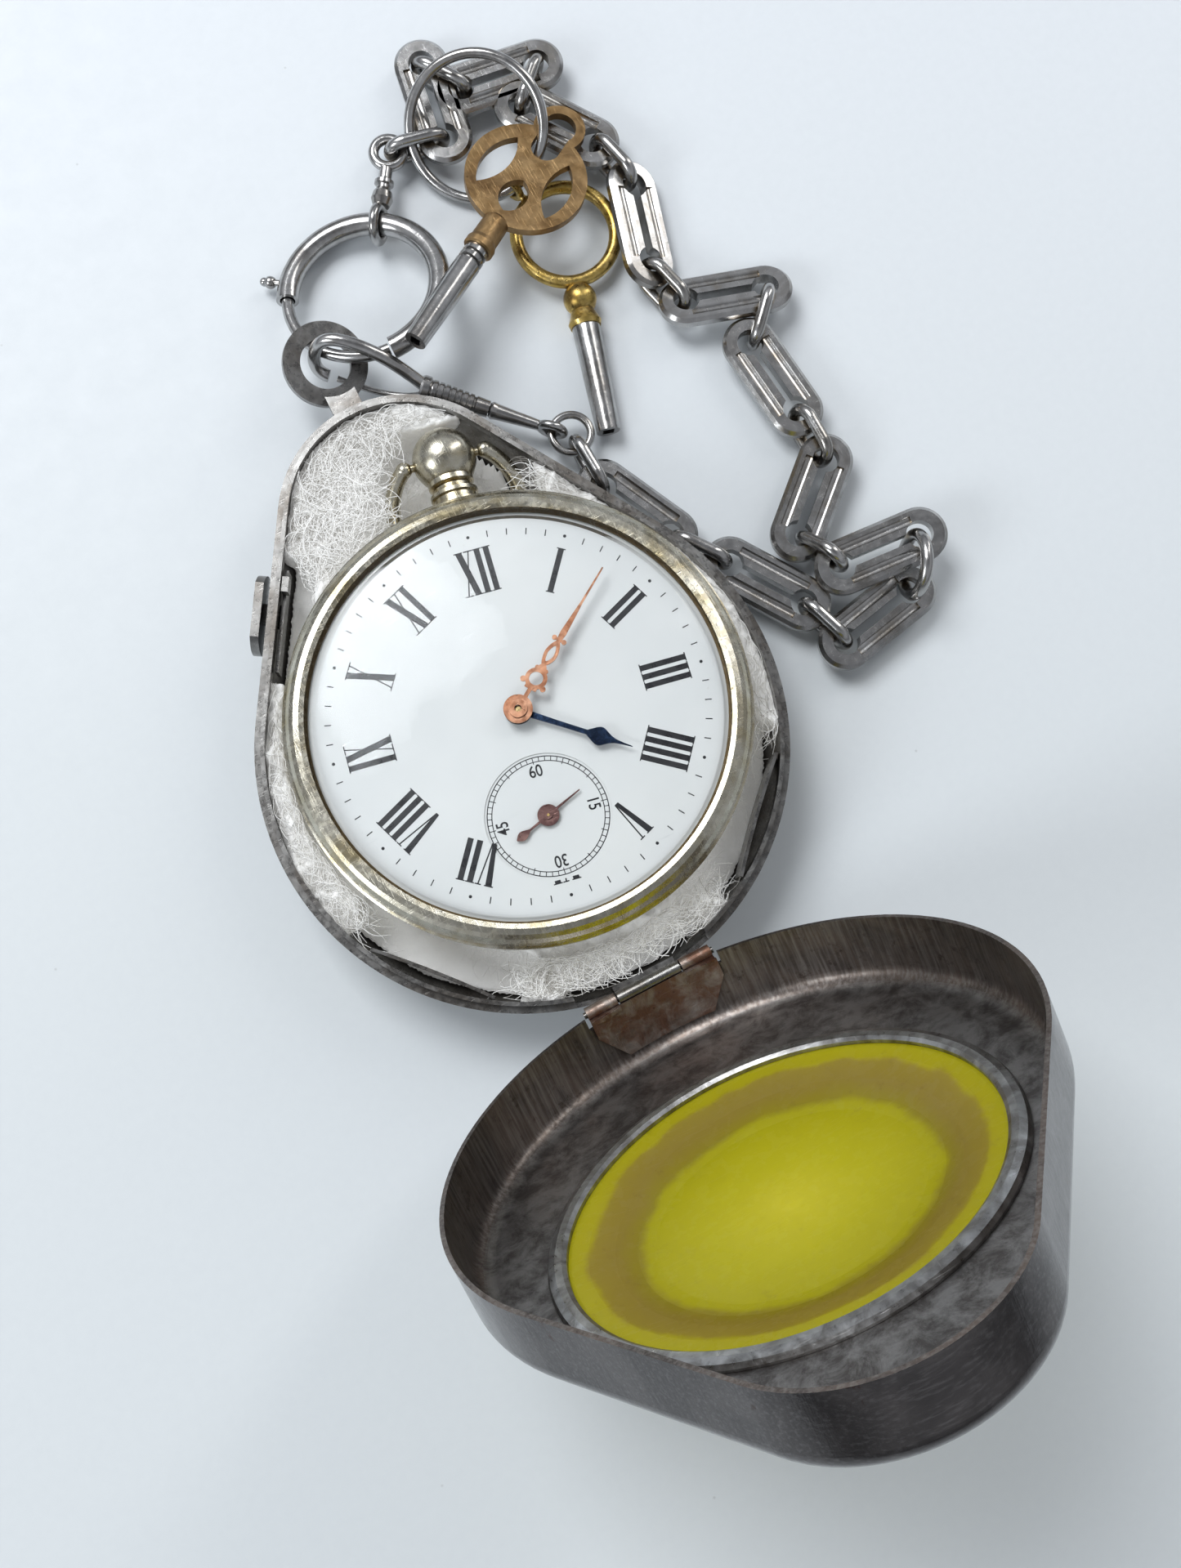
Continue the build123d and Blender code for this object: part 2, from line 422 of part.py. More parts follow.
put("click", WL * (Pos(*CL, 0) * Rot(0, 0, cl_a) * click))
pts = []
turns, r_in, r_out = 5.2, 1.95, 6.1
ms = None
N = 26
sp = [((r_in + (r_out - r_in) * i / (N - 1)) * math.cos(turns * 2 * math.pi * i / (N - 1)), (r_in + (r_out - r_in) * i / (N - 1)) * math.sin(turns * 2 * math.pi * i / (N - 1))) for i in range(N)]
SEGS = 130
ol = []
il = []
for i in range(SEGS + 1):
    t = i / SEGS
    r, a = r_in + (r_out - r_in) * t, turns * 2 * math.pi * t
    ol.append(((r + 0.09) * math.cos(a), (r + 0.09) * math.sin(a)))
    il.append(((r - 0.09) * math.cos(a), (r - 0.09) * math.sin(a)))
ms = Pos(*P_BAR, -4.72) * extrude(make_face(Polyline(*(ol + il[::-1]), close=True)), 0.85)
put("mainspring", WL * ms)

# centre wheel with its arbor, cannon pinion, motion works
ph_c = 0.0
ph_cp = mesh_phase(Z_BARREL, ph_bar, P_BAR, Z_CPIN, (0, 0))
cw = gear(Z_CENTER, M1, -3.45, -3.22, phase=ph_c, rim=0.55, spokes=5)
cw = cw + gear(Z_CPIN, M0, -4.45, -3.65, phase=ph_cp, fill=0.38) + cyl(0.85, 0.5, -3.7) + cyl(0.35, 1.2, -5.65)
cw = cw + cyl(0.55, 1.35, -3.25) + cyl(0.31, 3.5, -1.95)
sqp = Pos(0, 0, -6.15) * Box(0.55, 0.55, 0.55, align=C3)
cw = cw + sqp
put("center_wheel", WL * cw)
can = gear(Z_CANNON, MA, -1.8, -1.42, phase=0.0, fill=0.38) + cyl(0.56, 3.24, -1.5)
can = can - cyl(0.33, 6, -3) - cyl(5, 5, 1.44)
can = can + tube(0.355 - 0.0, 0.33, 1.40, 1.44) - cyl(0.33, 6, -3)
put("cannon_pinion", WL * can)
ph_mw = mesh_phase(Z_CANNON, 0.0, (0, 0), Z_MINW, P_M)
mwl = gear(Z_MINW, MA, -1.8, -1.55, phase=ph_mw) + gear(Z_MINP, MB, -1.56, -0.98, phase=0.0, fill=0.38)
mwl -= cyl(0.44, 4, -3)
put("minute_wheel", WL * (Pos(*P_M, 0) * mwl))
ph_hw = mesh_phase(Z_MINP, 0.0, P_M, Z_HOUR, (0, 0))
hw = gear(Z_HOUR, MB, -1.28, -1.0, phase=ph_hw) + cyl(0.93, 2.1, -1.28)
hw -= cyl(0.6, 6, -3)
put("hour_wheel", WL * hw)
# third, fourth, escape
ph_tp = mesh_phase(Z_CENTER, ph_c, (0, 0), Z_TPIN, P_3)
th = gear(Z_TPIN, M1, -3.58, -3.15, phase=ph_tp, fill=0.36) + cyl(0.3, 1.1, -4.4) + gear(Z_THIRD, M2, -4.3, -4.1, phase=0.0, rim=0.5, spokes=5) + cyl(0.15, 3.4, -5.3) + cyl(0.4, 0.5, -4.9)
put("third_wheel", WL * (Pos(*P_3, 0) * th))
ph_fp = mesh_phase(Z_THIRD, 0.0, P_3, Z_FPIN, P_4)
fo = gear(Z_FPIN, M2, -4.45, -3.98, phase=ph_fp, fill=0.36) + cyl(0.26, 1.0, -4.4) + gear(Z_FOURTH, M3, -3.5, -3.3, phase=0.0, rim=0.45, spokes=4) + cyl(0.15, 5.75, -5.3)
put("fourth_wheel", WL * (Pos(*P_4, 0) * fo))
ph_ep = mesh_phase(Z_FOURTH, 0.0, P_4, Z_EPIN, P_E)
ew = gear(Z_EPIN, M3, -3.6, -3.2, phase=ph_ep, fill=0.34) + cyl(0.11, 3.2, -5.3)
ep = []
RE = 2.45
for i in range(15):
    a = 2 * math.pi * i / 15
    for rr, k in ((RE - 0.75, 0.0), (RE - 0.1, 0.16), (RE, 0.20), (RE, 0.28), (RE - 0.35, 0.42), (RE - 0.75, 0.62)):
        ep.append((rr * math.cos(a + k * 0.4189), rr * math.sin(a + k * 0.4189)))
esc = Pos(0, 0, -4.0) * extrude(make_face(Polyline(*ep, close=True)), 0.2)
esc -= cyl(1.35, 1, -4.5)
esc = esc + cyl(0.45, 0.2, -4.0)
for i in range(4):
    esc = esc + Rot(0, 0, 45 + 90 * i) * box(0.3, 1.5, -0.12, 0.12, -4.0, -3.8)
esc = esc + cyl(0.14, 0.5, -3.85)
put("escape_wheel", WL * (Pos(*P_E, 0) * (ew + esc)))
# lever: pallets straddle the escape wheel just clear of its teeth
fk_a = math.degrees(math.atan2(EBU[1], EBU[0]))
lev = box(-0.3, 4.9, -0.2, 0.2, -4.0, -3.8) + cyl(0.45, 0.2, -4.0) + cyl(0.11, 3.2, -5.3)
for sy in (-1, 1):
    arm = make_face(Polyline((0.1, sy * 0.15), (-0.4, sy * 2.2), (-1.75, sy * 2.75), (-1.95, sy * 2.35), (-0.9, sy * 1.95), (-0.35, sy * 0.1), close=True))
    lev = lev + Pos(0, 0, -4.0) * extrude(arm, 0.2)
    lev = lev + box(4.7, 5.35, sy * 0.28 - 0.12 + sy * 0.1, sy * 0.28 + 0.12 + sy * 0.1, -4.0, -3.8)
lev = lev + box(4.4, 4.85, -0.45, 0.45, -4.0, -3.8)
put("pallet_fork", WL * (Pos(*P_P, 0) * Rot(0, 0, fk_a) * lev))
bal = tube(6.0, 5.3, -5.0, -4.5) + tube(0.8, 0.1, -4.9, -4.6) + cyl(0.12, 3.55, -5.9) + cyl(0.95, 0.2, -4.35) + cyl(0.4, 0.6, -4.9)
for i in range(3):
    bal = bal + Rot(0, 0, 120 * i + 20) * box(0.3, 5.5, -0.3, 0.3, -4.85, -4.65)
for i in range(12):
    a = 30 * i + 5
    bal = bal + Rot(0, 0, a) * (Pos(5.95, 0, -4.75) * Rot(0, 90, 0) * Cylinder(0.16, 0.75))
imp = Rot(0, 0, fk_a + 180) * (Pos(0.82, 0, -4.2) * Cylinder(0.1, 0.9))
bal = bal + imp
put("balance_wheel", WL * (Pos(*P_B, 0) * bal))
ol, il = [], []
for i in range(101):
    t = i / 100
    r, a = 0.75 + 2.1 * t, 6 * 2 * math.pi * t + 1.0
    ol.append(((r + 0.045) * math.cos(a), (r + 0.045) * math.sin(a)))
    il.append(((r - 0.045) * math.cos(a), (r - 0.045) * math.sin(a)))
hsp = extrude(make_face(Polyline(*(ol + il[::-1]), close=True)), 0.16)
put("hairspring", WL * (Pos(*P_B, -5.4) * hsp))


def screw(x, y, z, r=0.62, slot_a=0.0, h=0.3):
    sc = cyl(r, h, z - h, x, y)
    sc -= Pos(x, y, z - h) * Rot(0, 0, slot_a) * Box(2 * r + 1, 0.16, 0.3)
    return sc


scr = []
for i, (x, y, r) in enumerate(barrel_feet + train_feet):
    scr.append(screw(x, y, -5.65, slot_a=37 * i))
scr.append(screw(*cock_feet[0][:2], -6.2, slot_a=20, h=0.02 + 0.03))
scr = scr[:-1]
put("movement_screws", *[WL * s_ for s_ in scr])

# ================================================================ cotton wool lining (plain solid; the loose fibres are a surface matter)
cot = rounded_slab(-WALL - 0.4, WALL + 0.4, 8.35, TRAY_CORNER - WALL - 0.4)
cot -= WL * (cyl(24.75, 30, -8.2))
cot -= WL * box(-9.2, 9.2, 15, 33.8, -20, 30)
cot -= box(-8.2, 8.2, -30, -24.3, 4.8, 12)
cot -= wl(CATCH_S - 1.0, -2.3, 8.0) * Box(13.5, 5.0, 7.0)
for am in (-138.5, -44.0):
    cot -= Rot(0, 0, am) * box(20, 32, -9.5, 9.5, 4.2, 14)
put("cotton_lining", max(cot.solids(), key=lambda q: q.volume))

# ================================================================ chain and fittings
def v_sub(a, b):
    return tuple(x - y for x, y in zip(a, b))


def v_mid(a, b):
    return tuple((x + y) / 2 for x, y in zip(a, b))


def long_link(p, q, roll=0.0):
    """punched long link between hole centres p and q, rolled about its long axis by roll degrees"""
    x = v_sub(q, p)
    n = math.sqrt(sum(t * t for t in x))
    x = tuple(t / n for t in x)
    up = (-x[2] * x[0], -x[2] * x[1], 1 - x[2] * x[2])
    zr = rot_vec(up, x, math.radians(roll))
    hc = LINK_L / 2 - HOLE_C
    body = Pos(0, 0, -LINK_T / 2) * extrude(SlotOverall(LINK_L, LINK_W), LINK_T)
    body = chamfer(body.edges().filter_by_position(Axis.Z, LINK_T / 2 - 1e-3, LINK_T / 2 + 1e-3) + body.edges().filter_by_position(Axis.Z, -LINK_T / 2 - 1e-3, -LINK_T / 2 + 1e-3), 0.38)
    cut = Box(2 * hc, 1.0, 5)
    for sx in (-1, 1):
        cut = cut + Pos(sx * hc, 0, 0) * Cylinder(HOLE_R, 5)
        for sz in (-1, 1):
            cut = cut + Pos(0, sx * 1.75, sz * (LINK_T / 2 + 0.35)) * Rot(0, 90, 0) * Cylinder(0.62, 8.6)
    return frame(v_mid(p, q), x, zr) * (body - cut)


def oval_at(c, x_dir, z_dir, spacing=SHORT_C, half=SHORT_H, wire=WIRE_R):
    """oval wire link: centre, direction of its long axis, normal of its plane"""
    e = spacing / 2 - half
    path = Wire([CenterArc((e, 0, 0), half, -90, 180), Line((e, half, 0), (-e, half, 0)), CenterArc((-e, 0, 0), half, 90, 180), Line((-e, -half, 0), (e, -half, 0))])
    return frame(c, x_dir, z_dir) * sweep(Plane(origin=(0, half, 0), z_dir=(1, 0, 0)) * Circle(wire), path)


def oval(p, q):
    """oval wire link standing on edge between two points"""
    d = v_sub(q, p)
    return oval_at(v_mid(p, q), d, (-d[1], d[0], 0))


ZC = CHAIN_Z
CH = {  # hole centres of the long links (clasp side first) and each link's roll
    "U": ((21.5, 22.7, ZC), (25.6, 14.46, ZC), 0),
    "A": ((29.9, 8.65, ZC), (35.25, 0.78, ZC), 0),
    "B": ((37.3, -5.06, ZC), (46.3, -3.2, ZC), 0),
    "C": ((49.69, 1.6, 4.95), (40.51, 2.32, 4.15), 0),
    "F": ((38.34, 8.08, ZC), (45.19, 14.23, ZC), 0),
    "H": ((44.99, 20.89, ZC), (44.01, 30.04, ZC), 0),
    "J": ((48.7, 35.11, ZC), (39.85, 37.64, ZC), 15),
    "L": ((38.32, 43.84, ZC), (40.76, 52.72, ZC), 24),
    "N3": ((39.19, 59.45, ZC), (33.91, 66.99, ZC), 0),
    "N2": ((37.78, 70.74, ZC), (28.63, 71.72, ZC), 0),
    "N1": ((25.87, 76.36, ZC), (24.36, 67.28, ZC), 0),
}
OV = {  # resting places of the oval links: centre, long axis, normal
    "UA": ((27.84, 11.44, 2.55), (0.5961, -0.8029, 0.0), (0.8029, 0.5962, 0.0)),
    "AB": ((36.275, -2.14, 2.55), (0.3312, -0.9436, 0.0), (0.9436, 0.3312, 0.0)),
    "CF": ((39.5724, 5.0717, 3.4747), (-0.2335, 0.6832, -0.6919), (-0.9307, -0.363, -0.0444)),
    "FH": ((45.0889, 17.5596, 2.55), (-0.0234, 0.9997, 0.0018), (-0.9395, -0.0226, 0.3417)),
    "HJ": ((46.6281, 32.362, 2.8919), (0.6673, 0.7205, 0.1887), (-0.739, 0.6721, 0.0472)),
    "JL": ((38.5156, 40.4922, 2.25), (-0.2677, 0.9632, 0.0254), (-0.8178, -0.2411, 0.5226)),
    "LN3": ((40.157, 56.1685, 2.7815), (-0.2085, 0.9721, -0.1077), (-0.9544, -0.1782, 0.2395)),
    "N3N2": ((35.845, 68.865, 2.55), (0.7182, 0.6959, 0.0), (-0.6959, 0.7182, 0.0)),
    "N2N1": ((27.2807, 74.0349, 2.5498), (-0.5867, 0.8098, -0.0038), (-0.8097, -0.5868, -0.0061)),
}


def L_(n):
    return long_link(*CH[n])


def S_(n):
    return oval_at(*OV[n])


# split ring at the clasp and the oval that joins it to the first long link
SPLIT = (21.15, 29.75, ZC)
SPLIT_R, SPLIT_T = 2.2, 0.45
split = Pos(*SPLIT) * Torus(SPLIT_R, SPLIT_T)
first = oval((21.1, 28.95, ZC), (21.45, 22.3, ZC))
# the big oval between the swivel and the last link, and the round ring between links B and C
CB = (7.75, 54.45, 4.05)                         # bolt ring centre
CG = (0.084, -0.267)                             # its plane rises this much per mm
BOLT_R, TUBE_R, TUBE_BORE, BOLT_WIRE = 8.7, 1.25, 0.85, 0.68


def on_bolt(deg):
    a = math.radians(deg)
    z = (-CG[0], -CG[1], 1.0)
    n = math.sqrt(sum(t * t for t in z))
    z = tuple(t / n for t in z)
    x = (1.0, 0.0, CG[0])
    nx = math.sqrt(sum(t * t for t in x))
    x = tuple(t / nx for t in x)
    y = (z[1] * x[2] - z[2] * x[1], z[2] * x[0] - z[0] * x[2], z[0] * x[1] - z[1] * x[0])
    return tuple(CB[i] + BOLT_R * (math.cos(a) * x[i] + math.sin(a) * y[i]) for i in range(3))


bolt_loc = frame(CB, (1.0, 0.0, CG[0]), (-CG[0], -CG[1], 1.0))
EYE1 = on_bolt(54.5)
EYE2 = (17.75, 68.55, ZC)
big_oval = oval(EYE2, CH["N1"][1])
round_ring = frame((47.9353, -0.9472, 4.03), (0.4389, 0.8984, -0.0161), (-0.8806, 0.4337, 0.1912)) * Torus(3.3, WIRE_R)

put("chain_links_1_to_2", split, first, L_("U"), S_("UA"), L_("A"), S_("AB"))
put("chain_link_3", L_("B"), round_ring)
put("chain_link_4", L_("C"), S_("CF"))
put("chain_link_5", L_("F"), S_("FH"))
put("chain_link_6", L_("H"), S_("HJ"))
put("chain_link_7", L_("J"), S_("JL"))
put("chain_links_8_to_11", L_("L"), S_("LN3"), L_("N3"), S_("N3N2"), L_("N2"), S_("N2N1"), L_("N1"), big_oval)

# bolt ring: bent tube with a slot for the thumb knob, and the sliding wire bolt inside
A_OPEN, A_TAIL, A_KNOB = 158.0, -92.0, 143.0
btube = torus_arc(BOLT_R, TUBE_R, A_TAIL, A_OPEN) - torus_arc(BOLT_R, TUBE_BORE, A_TAIL - 1, A_OPEN + 1)
slot_arc = Rot(0, 0, 92) * revolve(Plane.XZ * (Pos(BOLT_R + 1.3, 0) * Rectangle(2.6, 0.95)), Axis.Z, A_KNOB + 4 - 92)
btube = btube - slot_arc
put("bolt_ring", bolt_loc * btube)
bw = torus_arc(BOLT_R, BOLT_WIRE, 100, 266.5)
kn_ = Rot(0, 0, A_KNOB) * (Pos(BOLT_R + 1.2, 0, 0) * Rot(0, 90, 0) * Cylinder(0.36, 2.0))
kn_ = kn_ + Rot(0, 0, A_KNOB) * (Pos(BOLT_R + 2.35, 0, 0) * Sphere(0.72)) + Rot(0, 0, A_KNOB) * (Pos(BOLT_R + 3.1, 0, 0) * Sphere(0.5))
put("bolt_slider", bolt_loc * (bw + kn_))
# swivel: an eye round the tube, a collared stem, and an eye for the chain
sd = v_sub(EYE2, EYE1)
sn = math.sqrt(sum(t * t for t in sd))
sd = tuple(t / sn for t in sd)
tang = v_sub(on_bolt(55.5), on_bolt(53.5))
eye1 = Plane(origin=EYE1, x_dir=tuple(-t for t in sd), z_dir=tang).location * Torus(1.88, 0.55)
eye2 = Plane(origin=EYE2, x_dir=sd, z_dir=(0, 0, 1)).location * Torus(1.68, 0.6)
st0 = tuple(EYE1[i] + sd[i] * 2.25 for i in range(3))
loc, _ = along(st0, EYE2)
stem_len = sn - 2.25 - 2.0
stem_s = loc * lathe([(0, -0.25), (0.95, -0.1), (1.25, 0.7), (1.1, 1.5), (0.8, 2.0), (0.8, 2.35), (1.1, 2.5), (1.1, 2.9), (0.75, 3.2), (0.75, stem_len), (0.5, stem_len + 0.35), (0, stem_len + 0.35)])
put("bolt_ring_swivel", eye1 + stem_s + eye2)

# lever clasp: barrel with a hooked arm, spring lever that closes the hook, swivel eye
HOOK_P = (-0.51, 49.31, 5.95)                       # where the hook passes through the hanger ring
EYE_C = (SPLIT[0] - 0.776 * SPLIT_R, SPLIT[1] + 0.631 * SPLIT_R, ZC)
cd = v_sub(EYE_C, HOOK_P)
cn = math.sqrt(sum(t * t for t in cd))
cd = tuple(t / cn for t in cd)
CLASP_TILT = math.radians(65.8)
HW = 1.82
side = (-cd[1], cd[0], 0.0)
sl = math.hypot(side[0], side[1])
side = tuple(t / sl for t in side)
yv = rot_vec(side, cd, CLASP_TILT)               # across the hook's plane
zv = (cd[1] * yv[2] - cd[2] * yv[1], cd[2] * yv[0] - cd[0] * yv[2], cd[0] * yv[1] - cd[1] * yv[0])
clasp_loc = frame(HOOK_P, cd, zv)                # local x along the clasp from the hook's tip, y across, hook plane z = 0
X_COL = 12.0
path = Spline((X_COL + 0.3, 0.55, 0), (8.0, 1.35 * HW, 0), (3.5, 1.75 * HW, 0), (0.9, 1.35 * HW, 0), (0.0, 0.1, 0), (0.65, -1.15 * HW, 0), (2.0, -1.45 * HW, 0))
hk = sweep(Plane(origin=path @ 0, z_dir=path % 0) * Circle(0.72), path)
barrel_prof = [(0, 0), (1.35, 0), (1.5, 0.25), (1.5, 0.95), (1.2, 1.15)]
zz, rr = 1.35, 1.3
for i in range(7):
    barrel_prof += [(rr, zz), (rr, zz + 0.42), (rr - 0.2, zz + 0.5), (rr - 0.2, zz + 0.68)]
    zz += 0.7
    rr -= 0.035
barrel_prof += [(1.05, zz + 0.1), (0.95, zz + 1.6), (0, zz + 1.6)]
cbarrel = Pos(X_COL, 0, 0) * Rot(0, 90, 0) * lathe(barrel_prof)
cbarrel -= Pos(X_COL + zz + 1.0, 0, 0) * Rot(0, 90, 0) * Cylinder(0.46, 4.4)
cbarrel -= Pos(X_COL + 0.35, -0.8, 0) * Box(2.6, 1.5, 0.9)
put("clasp_body", clasp_loc * (cbarrel + hk))
LEV_P = (X_COL + 0.55, -0.75)
lv = Spline((LEV_P[0], LEV_P[1], 0), (9.0, -1.35 * HW, 0), (5.5, -1.5 * HW, 0), (2.95, -1.45 * HW, 0))
lever = sweep(Plane(origin=lv @ 0, z_dir=lv % 0) * Circle(0.36), lv)
lever = lever + Pos(LEV_P[0], LEV_P[1], 0) * Cylinder(0.5, 0.72)
put("clasp_lever", clasp_loc * lever)
x_end = X_COL + zz + 1.6
e_len = cn - x_end
ceye = Pos(cn, 0, 0) * Rot(math.degrees(-CLASP_TILT), 0, 0) * Rot(90, 0, 0) * Torus(1.35, 0.5)
cst = Pos(x_end - 1.9, 0, 0) * Rot(0, 90, 0) * Cylinder(0.4, 1.95 + e_len - 1.45, align=C3)
cst = cst + Pos(x_end + 0.06, 0, 0) * Rot(0, 90, 0) * lathe([(0, 0), (0.75, 0.0), (1.0, 0.35), (0.9, 0.8), (0.6, e_len - 1.6), (0, e_len - 1.6)])
put("clasp_eye", clasp_loc * (cst + ceye))

# key ring, threaded on the big oval, and the two watch keys
KR_C, KR_X, KR_Z, KR_R, KR_T = (27.556, 65.837, 4.868), (0.9188, 0.0083, 0.3947), (-0.3671, -0.3499, 0.8618), 7.7, 0.6
kr_loc = frame(KR_C, KR_X, KR_Z)
put("key_ring", kr_loc * Torus(KR_R, KR_T))

K1_LOOP, K1_TIP = (35.9, 61.5, 4.55), (9.47, 44.23, 9.75)
kd = v_sub(K1_TIP, K1_LOOP)
kn_len = math.sqrt(sum(t * t for t in kd))
kd = tuple(t / kn_len for t in kd)
ks = rot_vec((-kd[1], kd[0], 0), (0, 0, 1), 0)
ksl = math.hypot(ks[0], ks[1])
ks = (ks[0] / ksl, ks[1] / ksl, 0.0)
kz = (kd[1] * ks[2] - kd[2] * ks[1], kd[2] * ks[0] - kd[0] * ks[2], kd[0] * ks[1] - kd[1] * ks[0])
k1_loc = frame(K1_LOOP, kd, kz)                  # local x from loop towards the socket end, z up
K1_T = 1.0
HX = 7.7
head = Circle(6.9)
head = Pos(HX, 0) * head + Circle(2.95) + Pos(1.6, 0) * Rectangle(3.2, 3.6)
hole = Circle(1.9) + Pos(1.6, 0) * Rectangle(3.2, 3.3) + Pos(3.2, 0) * Circle(1.65)
head -= hole


def petal(L_, W_):
    r = (L_ * L_ / 4 + W_ * W_ / 4) / W_
    c = r - W_ / 2
    return (Pos(0, -c) * Circle(r)) & (Pos(0, c) * Circle(r))


head -= Pos(HX - 0.2, 3.85) * Rot(0, 0, 8) * petal(7.6, 3.0)
head -= Pos(HX - 0.2, -3.85) * Rot(0, 0, -8) * petal(7.6, 3.0)
head -= Pos(HX + 2.9, 0) * petal(4.6, 3.2)
kh = Pos(0, 0, -K1_T / 2) * extrude(head, K1_T)
sock = Pos(HX + 6.2, 0, 0) * Rot(0, 90, 0) * lathe([(0, 0), (1.0, 0), (1.5, 0.5), (1.55, 3.4), (1.75, 3.9), (1.75, 4.6), (1.45, 4.7), (0, 4.7)])
X_J = HX + 6.2 + 4.7
kh = kh + sock - Pos(X_J - 1.0, 0, 0) * Rot(0, 90, 0) * Cylinder(0.86, 2.6)
put("key_1_head", k1_loc * kh)
pl_ = kn_len - X_J
pipe = Pos(X_J + 0.02, 0, 0) * Rot(0, 90, 0) * lathe([(0, -1.9), (0.84, -1.9), (0.84, 0), (1.35, 0), (1.4, 0.7), (1.12, 0.8), (1.12, 1.1), (1.42, 1.2), (1.42, 1.6), (1.12, 1.7), (1.12, 2.0), (1.45, 2.15), (1.42, pl_ * 0.55), (1.25, pl_), (0, pl_)])
pipe -= Pos(X_J + pl_ - 1.9, 0, 0) * Rot(0, 0, 0) * Box(4.0, 1.15, 1.15)
put("key_1_pipe", k1_loc * pipe)

K2_B, K2_C, K2_E = (28.45, 58.75, 2.46), (31.5, 51.1, 2.16), (25.2, 28.4, 1.62)
k2d = v_sub(K2_E, K2_C)
k2n = math.sqrt(sum(t * t for t in k2d))
k2_loc = frame(K2_C, tuple(t / k2n for t in k2d), (-k2d[0] * k2d[2], -k2d[1] * k2d[2], k2d[0] ** 2 + k2d[1] ** 2))
k2h = Torus(5.65, 0.75)
bx = (K2_B[0] - K2_C[0], K2_B[1] - K2_C[1])
bang = math.degrees(math.atan2(bx[1], bx[0])) - math.degrees(math.atan2(k2d[1], k2d[0]))
bdist = math.hypot(*bx)
bail = Rot(0, 0, bang) * (Pos(bdist, 0, 0) * Rot(90, 0, 0) * Torus(1.35, 0.42) + Pos((6.2 + bdist - 1.35) / 2, 0, 0) * Rot(0, 90, 0) * Cylinder(0.42, bdist - 1.35 - 6.2 + 0.5))
k2h = k2h + bail + Pos(5.65 + 2.2, 0, 0) * Sphere(1.9)
k2h = k2h + Pos(5.65 + 3.6, 0, 0) * Rot(0, 90, 0) * lathe([(0, 0), (1.35, 0), (1.55, 0.6), (1.9, 1.4), (1.75, 1.9), (0, 1.9)])
X2 = 5.65 + 3.6 + 1.9
k2h -= Pos(X2 - 1.0, 0, 0) * Rot(0, 90, 0) * Cylinder(0.86, 2.6)
put("key_2_head", k2_loc * k2h)
p2 = k2n - X2
k2p = Pos(X2 + 0.02, 0, 0) * Rot(0, 90, 0) * lathe([(0, -1.9), (0.84, -1.9), (0.84, 0), (1.6, 0), (1.5, p2 * 0.6), (1.35, p2), (0, p2)])
k2p -= Pos(X2 + p2 - 1.9, 0, 0) * Box(4.0, 1.3, 1.3)
put("key_2_pipe", k2_loc * k2p)

for name, solids in NODES.items():
    shape = solids[0] if len(solids) == 1 else Compound(solids)
    export_step(shape, f"parts/{name}.step")
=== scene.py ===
import bpy, bmesh, math, json, random
from mathutils import Vector, Matrix, Quaternion, noise


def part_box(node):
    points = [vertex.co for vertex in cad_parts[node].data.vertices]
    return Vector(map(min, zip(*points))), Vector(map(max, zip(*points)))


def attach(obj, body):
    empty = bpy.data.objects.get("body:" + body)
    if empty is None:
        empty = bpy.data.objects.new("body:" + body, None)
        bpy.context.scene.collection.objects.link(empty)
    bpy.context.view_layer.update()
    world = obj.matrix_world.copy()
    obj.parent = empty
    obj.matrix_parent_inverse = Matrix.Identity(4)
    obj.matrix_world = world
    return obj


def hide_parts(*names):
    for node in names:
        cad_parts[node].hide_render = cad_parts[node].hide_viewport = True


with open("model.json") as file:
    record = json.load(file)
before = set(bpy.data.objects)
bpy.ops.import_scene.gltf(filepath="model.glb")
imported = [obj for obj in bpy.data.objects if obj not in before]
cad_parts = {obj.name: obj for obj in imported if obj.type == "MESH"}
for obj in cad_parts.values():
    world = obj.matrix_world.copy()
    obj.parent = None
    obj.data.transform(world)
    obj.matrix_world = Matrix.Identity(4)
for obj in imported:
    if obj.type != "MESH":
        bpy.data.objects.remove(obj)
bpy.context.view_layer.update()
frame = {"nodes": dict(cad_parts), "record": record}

N, REC = frame["nodes"], frame["record"]
sc = bpy.context.scene
MM = 0.001


# ------------------------------------------------------------ camera
cam_d = bpy.data.cameras.new("camera")
cam = bpy.data.objects.new("camera", cam_d)
sc.collection.objects.link(cam)
right, down, fwd = Vector((0.88683, -0.45968, 0.04709)), Vector((-0.44991, -0.88221, -0.13888)), Vector((0.10538, 0.10198, -0.98919))
m = Matrix((right, -down, -fwd)).transposed().to_4x4()
m.translation = Vector((-14.058, -24.623, 180.462)) * MM
cam.matrix_world = m
cam_d.lens, cam_d.sensor_width, cam_d.sensor_fit = 38.108, 36.0, "AUTO"
cam_d.clip_start, cam_d.clip_end = 0.005, 20.0
cam_d.dof.use_dof = False
sc.camera = cam
sc.view_settings.view_transform = "Standard"
sc.view_settings.look = "None"
sc.view_settings.exposure = 0.0


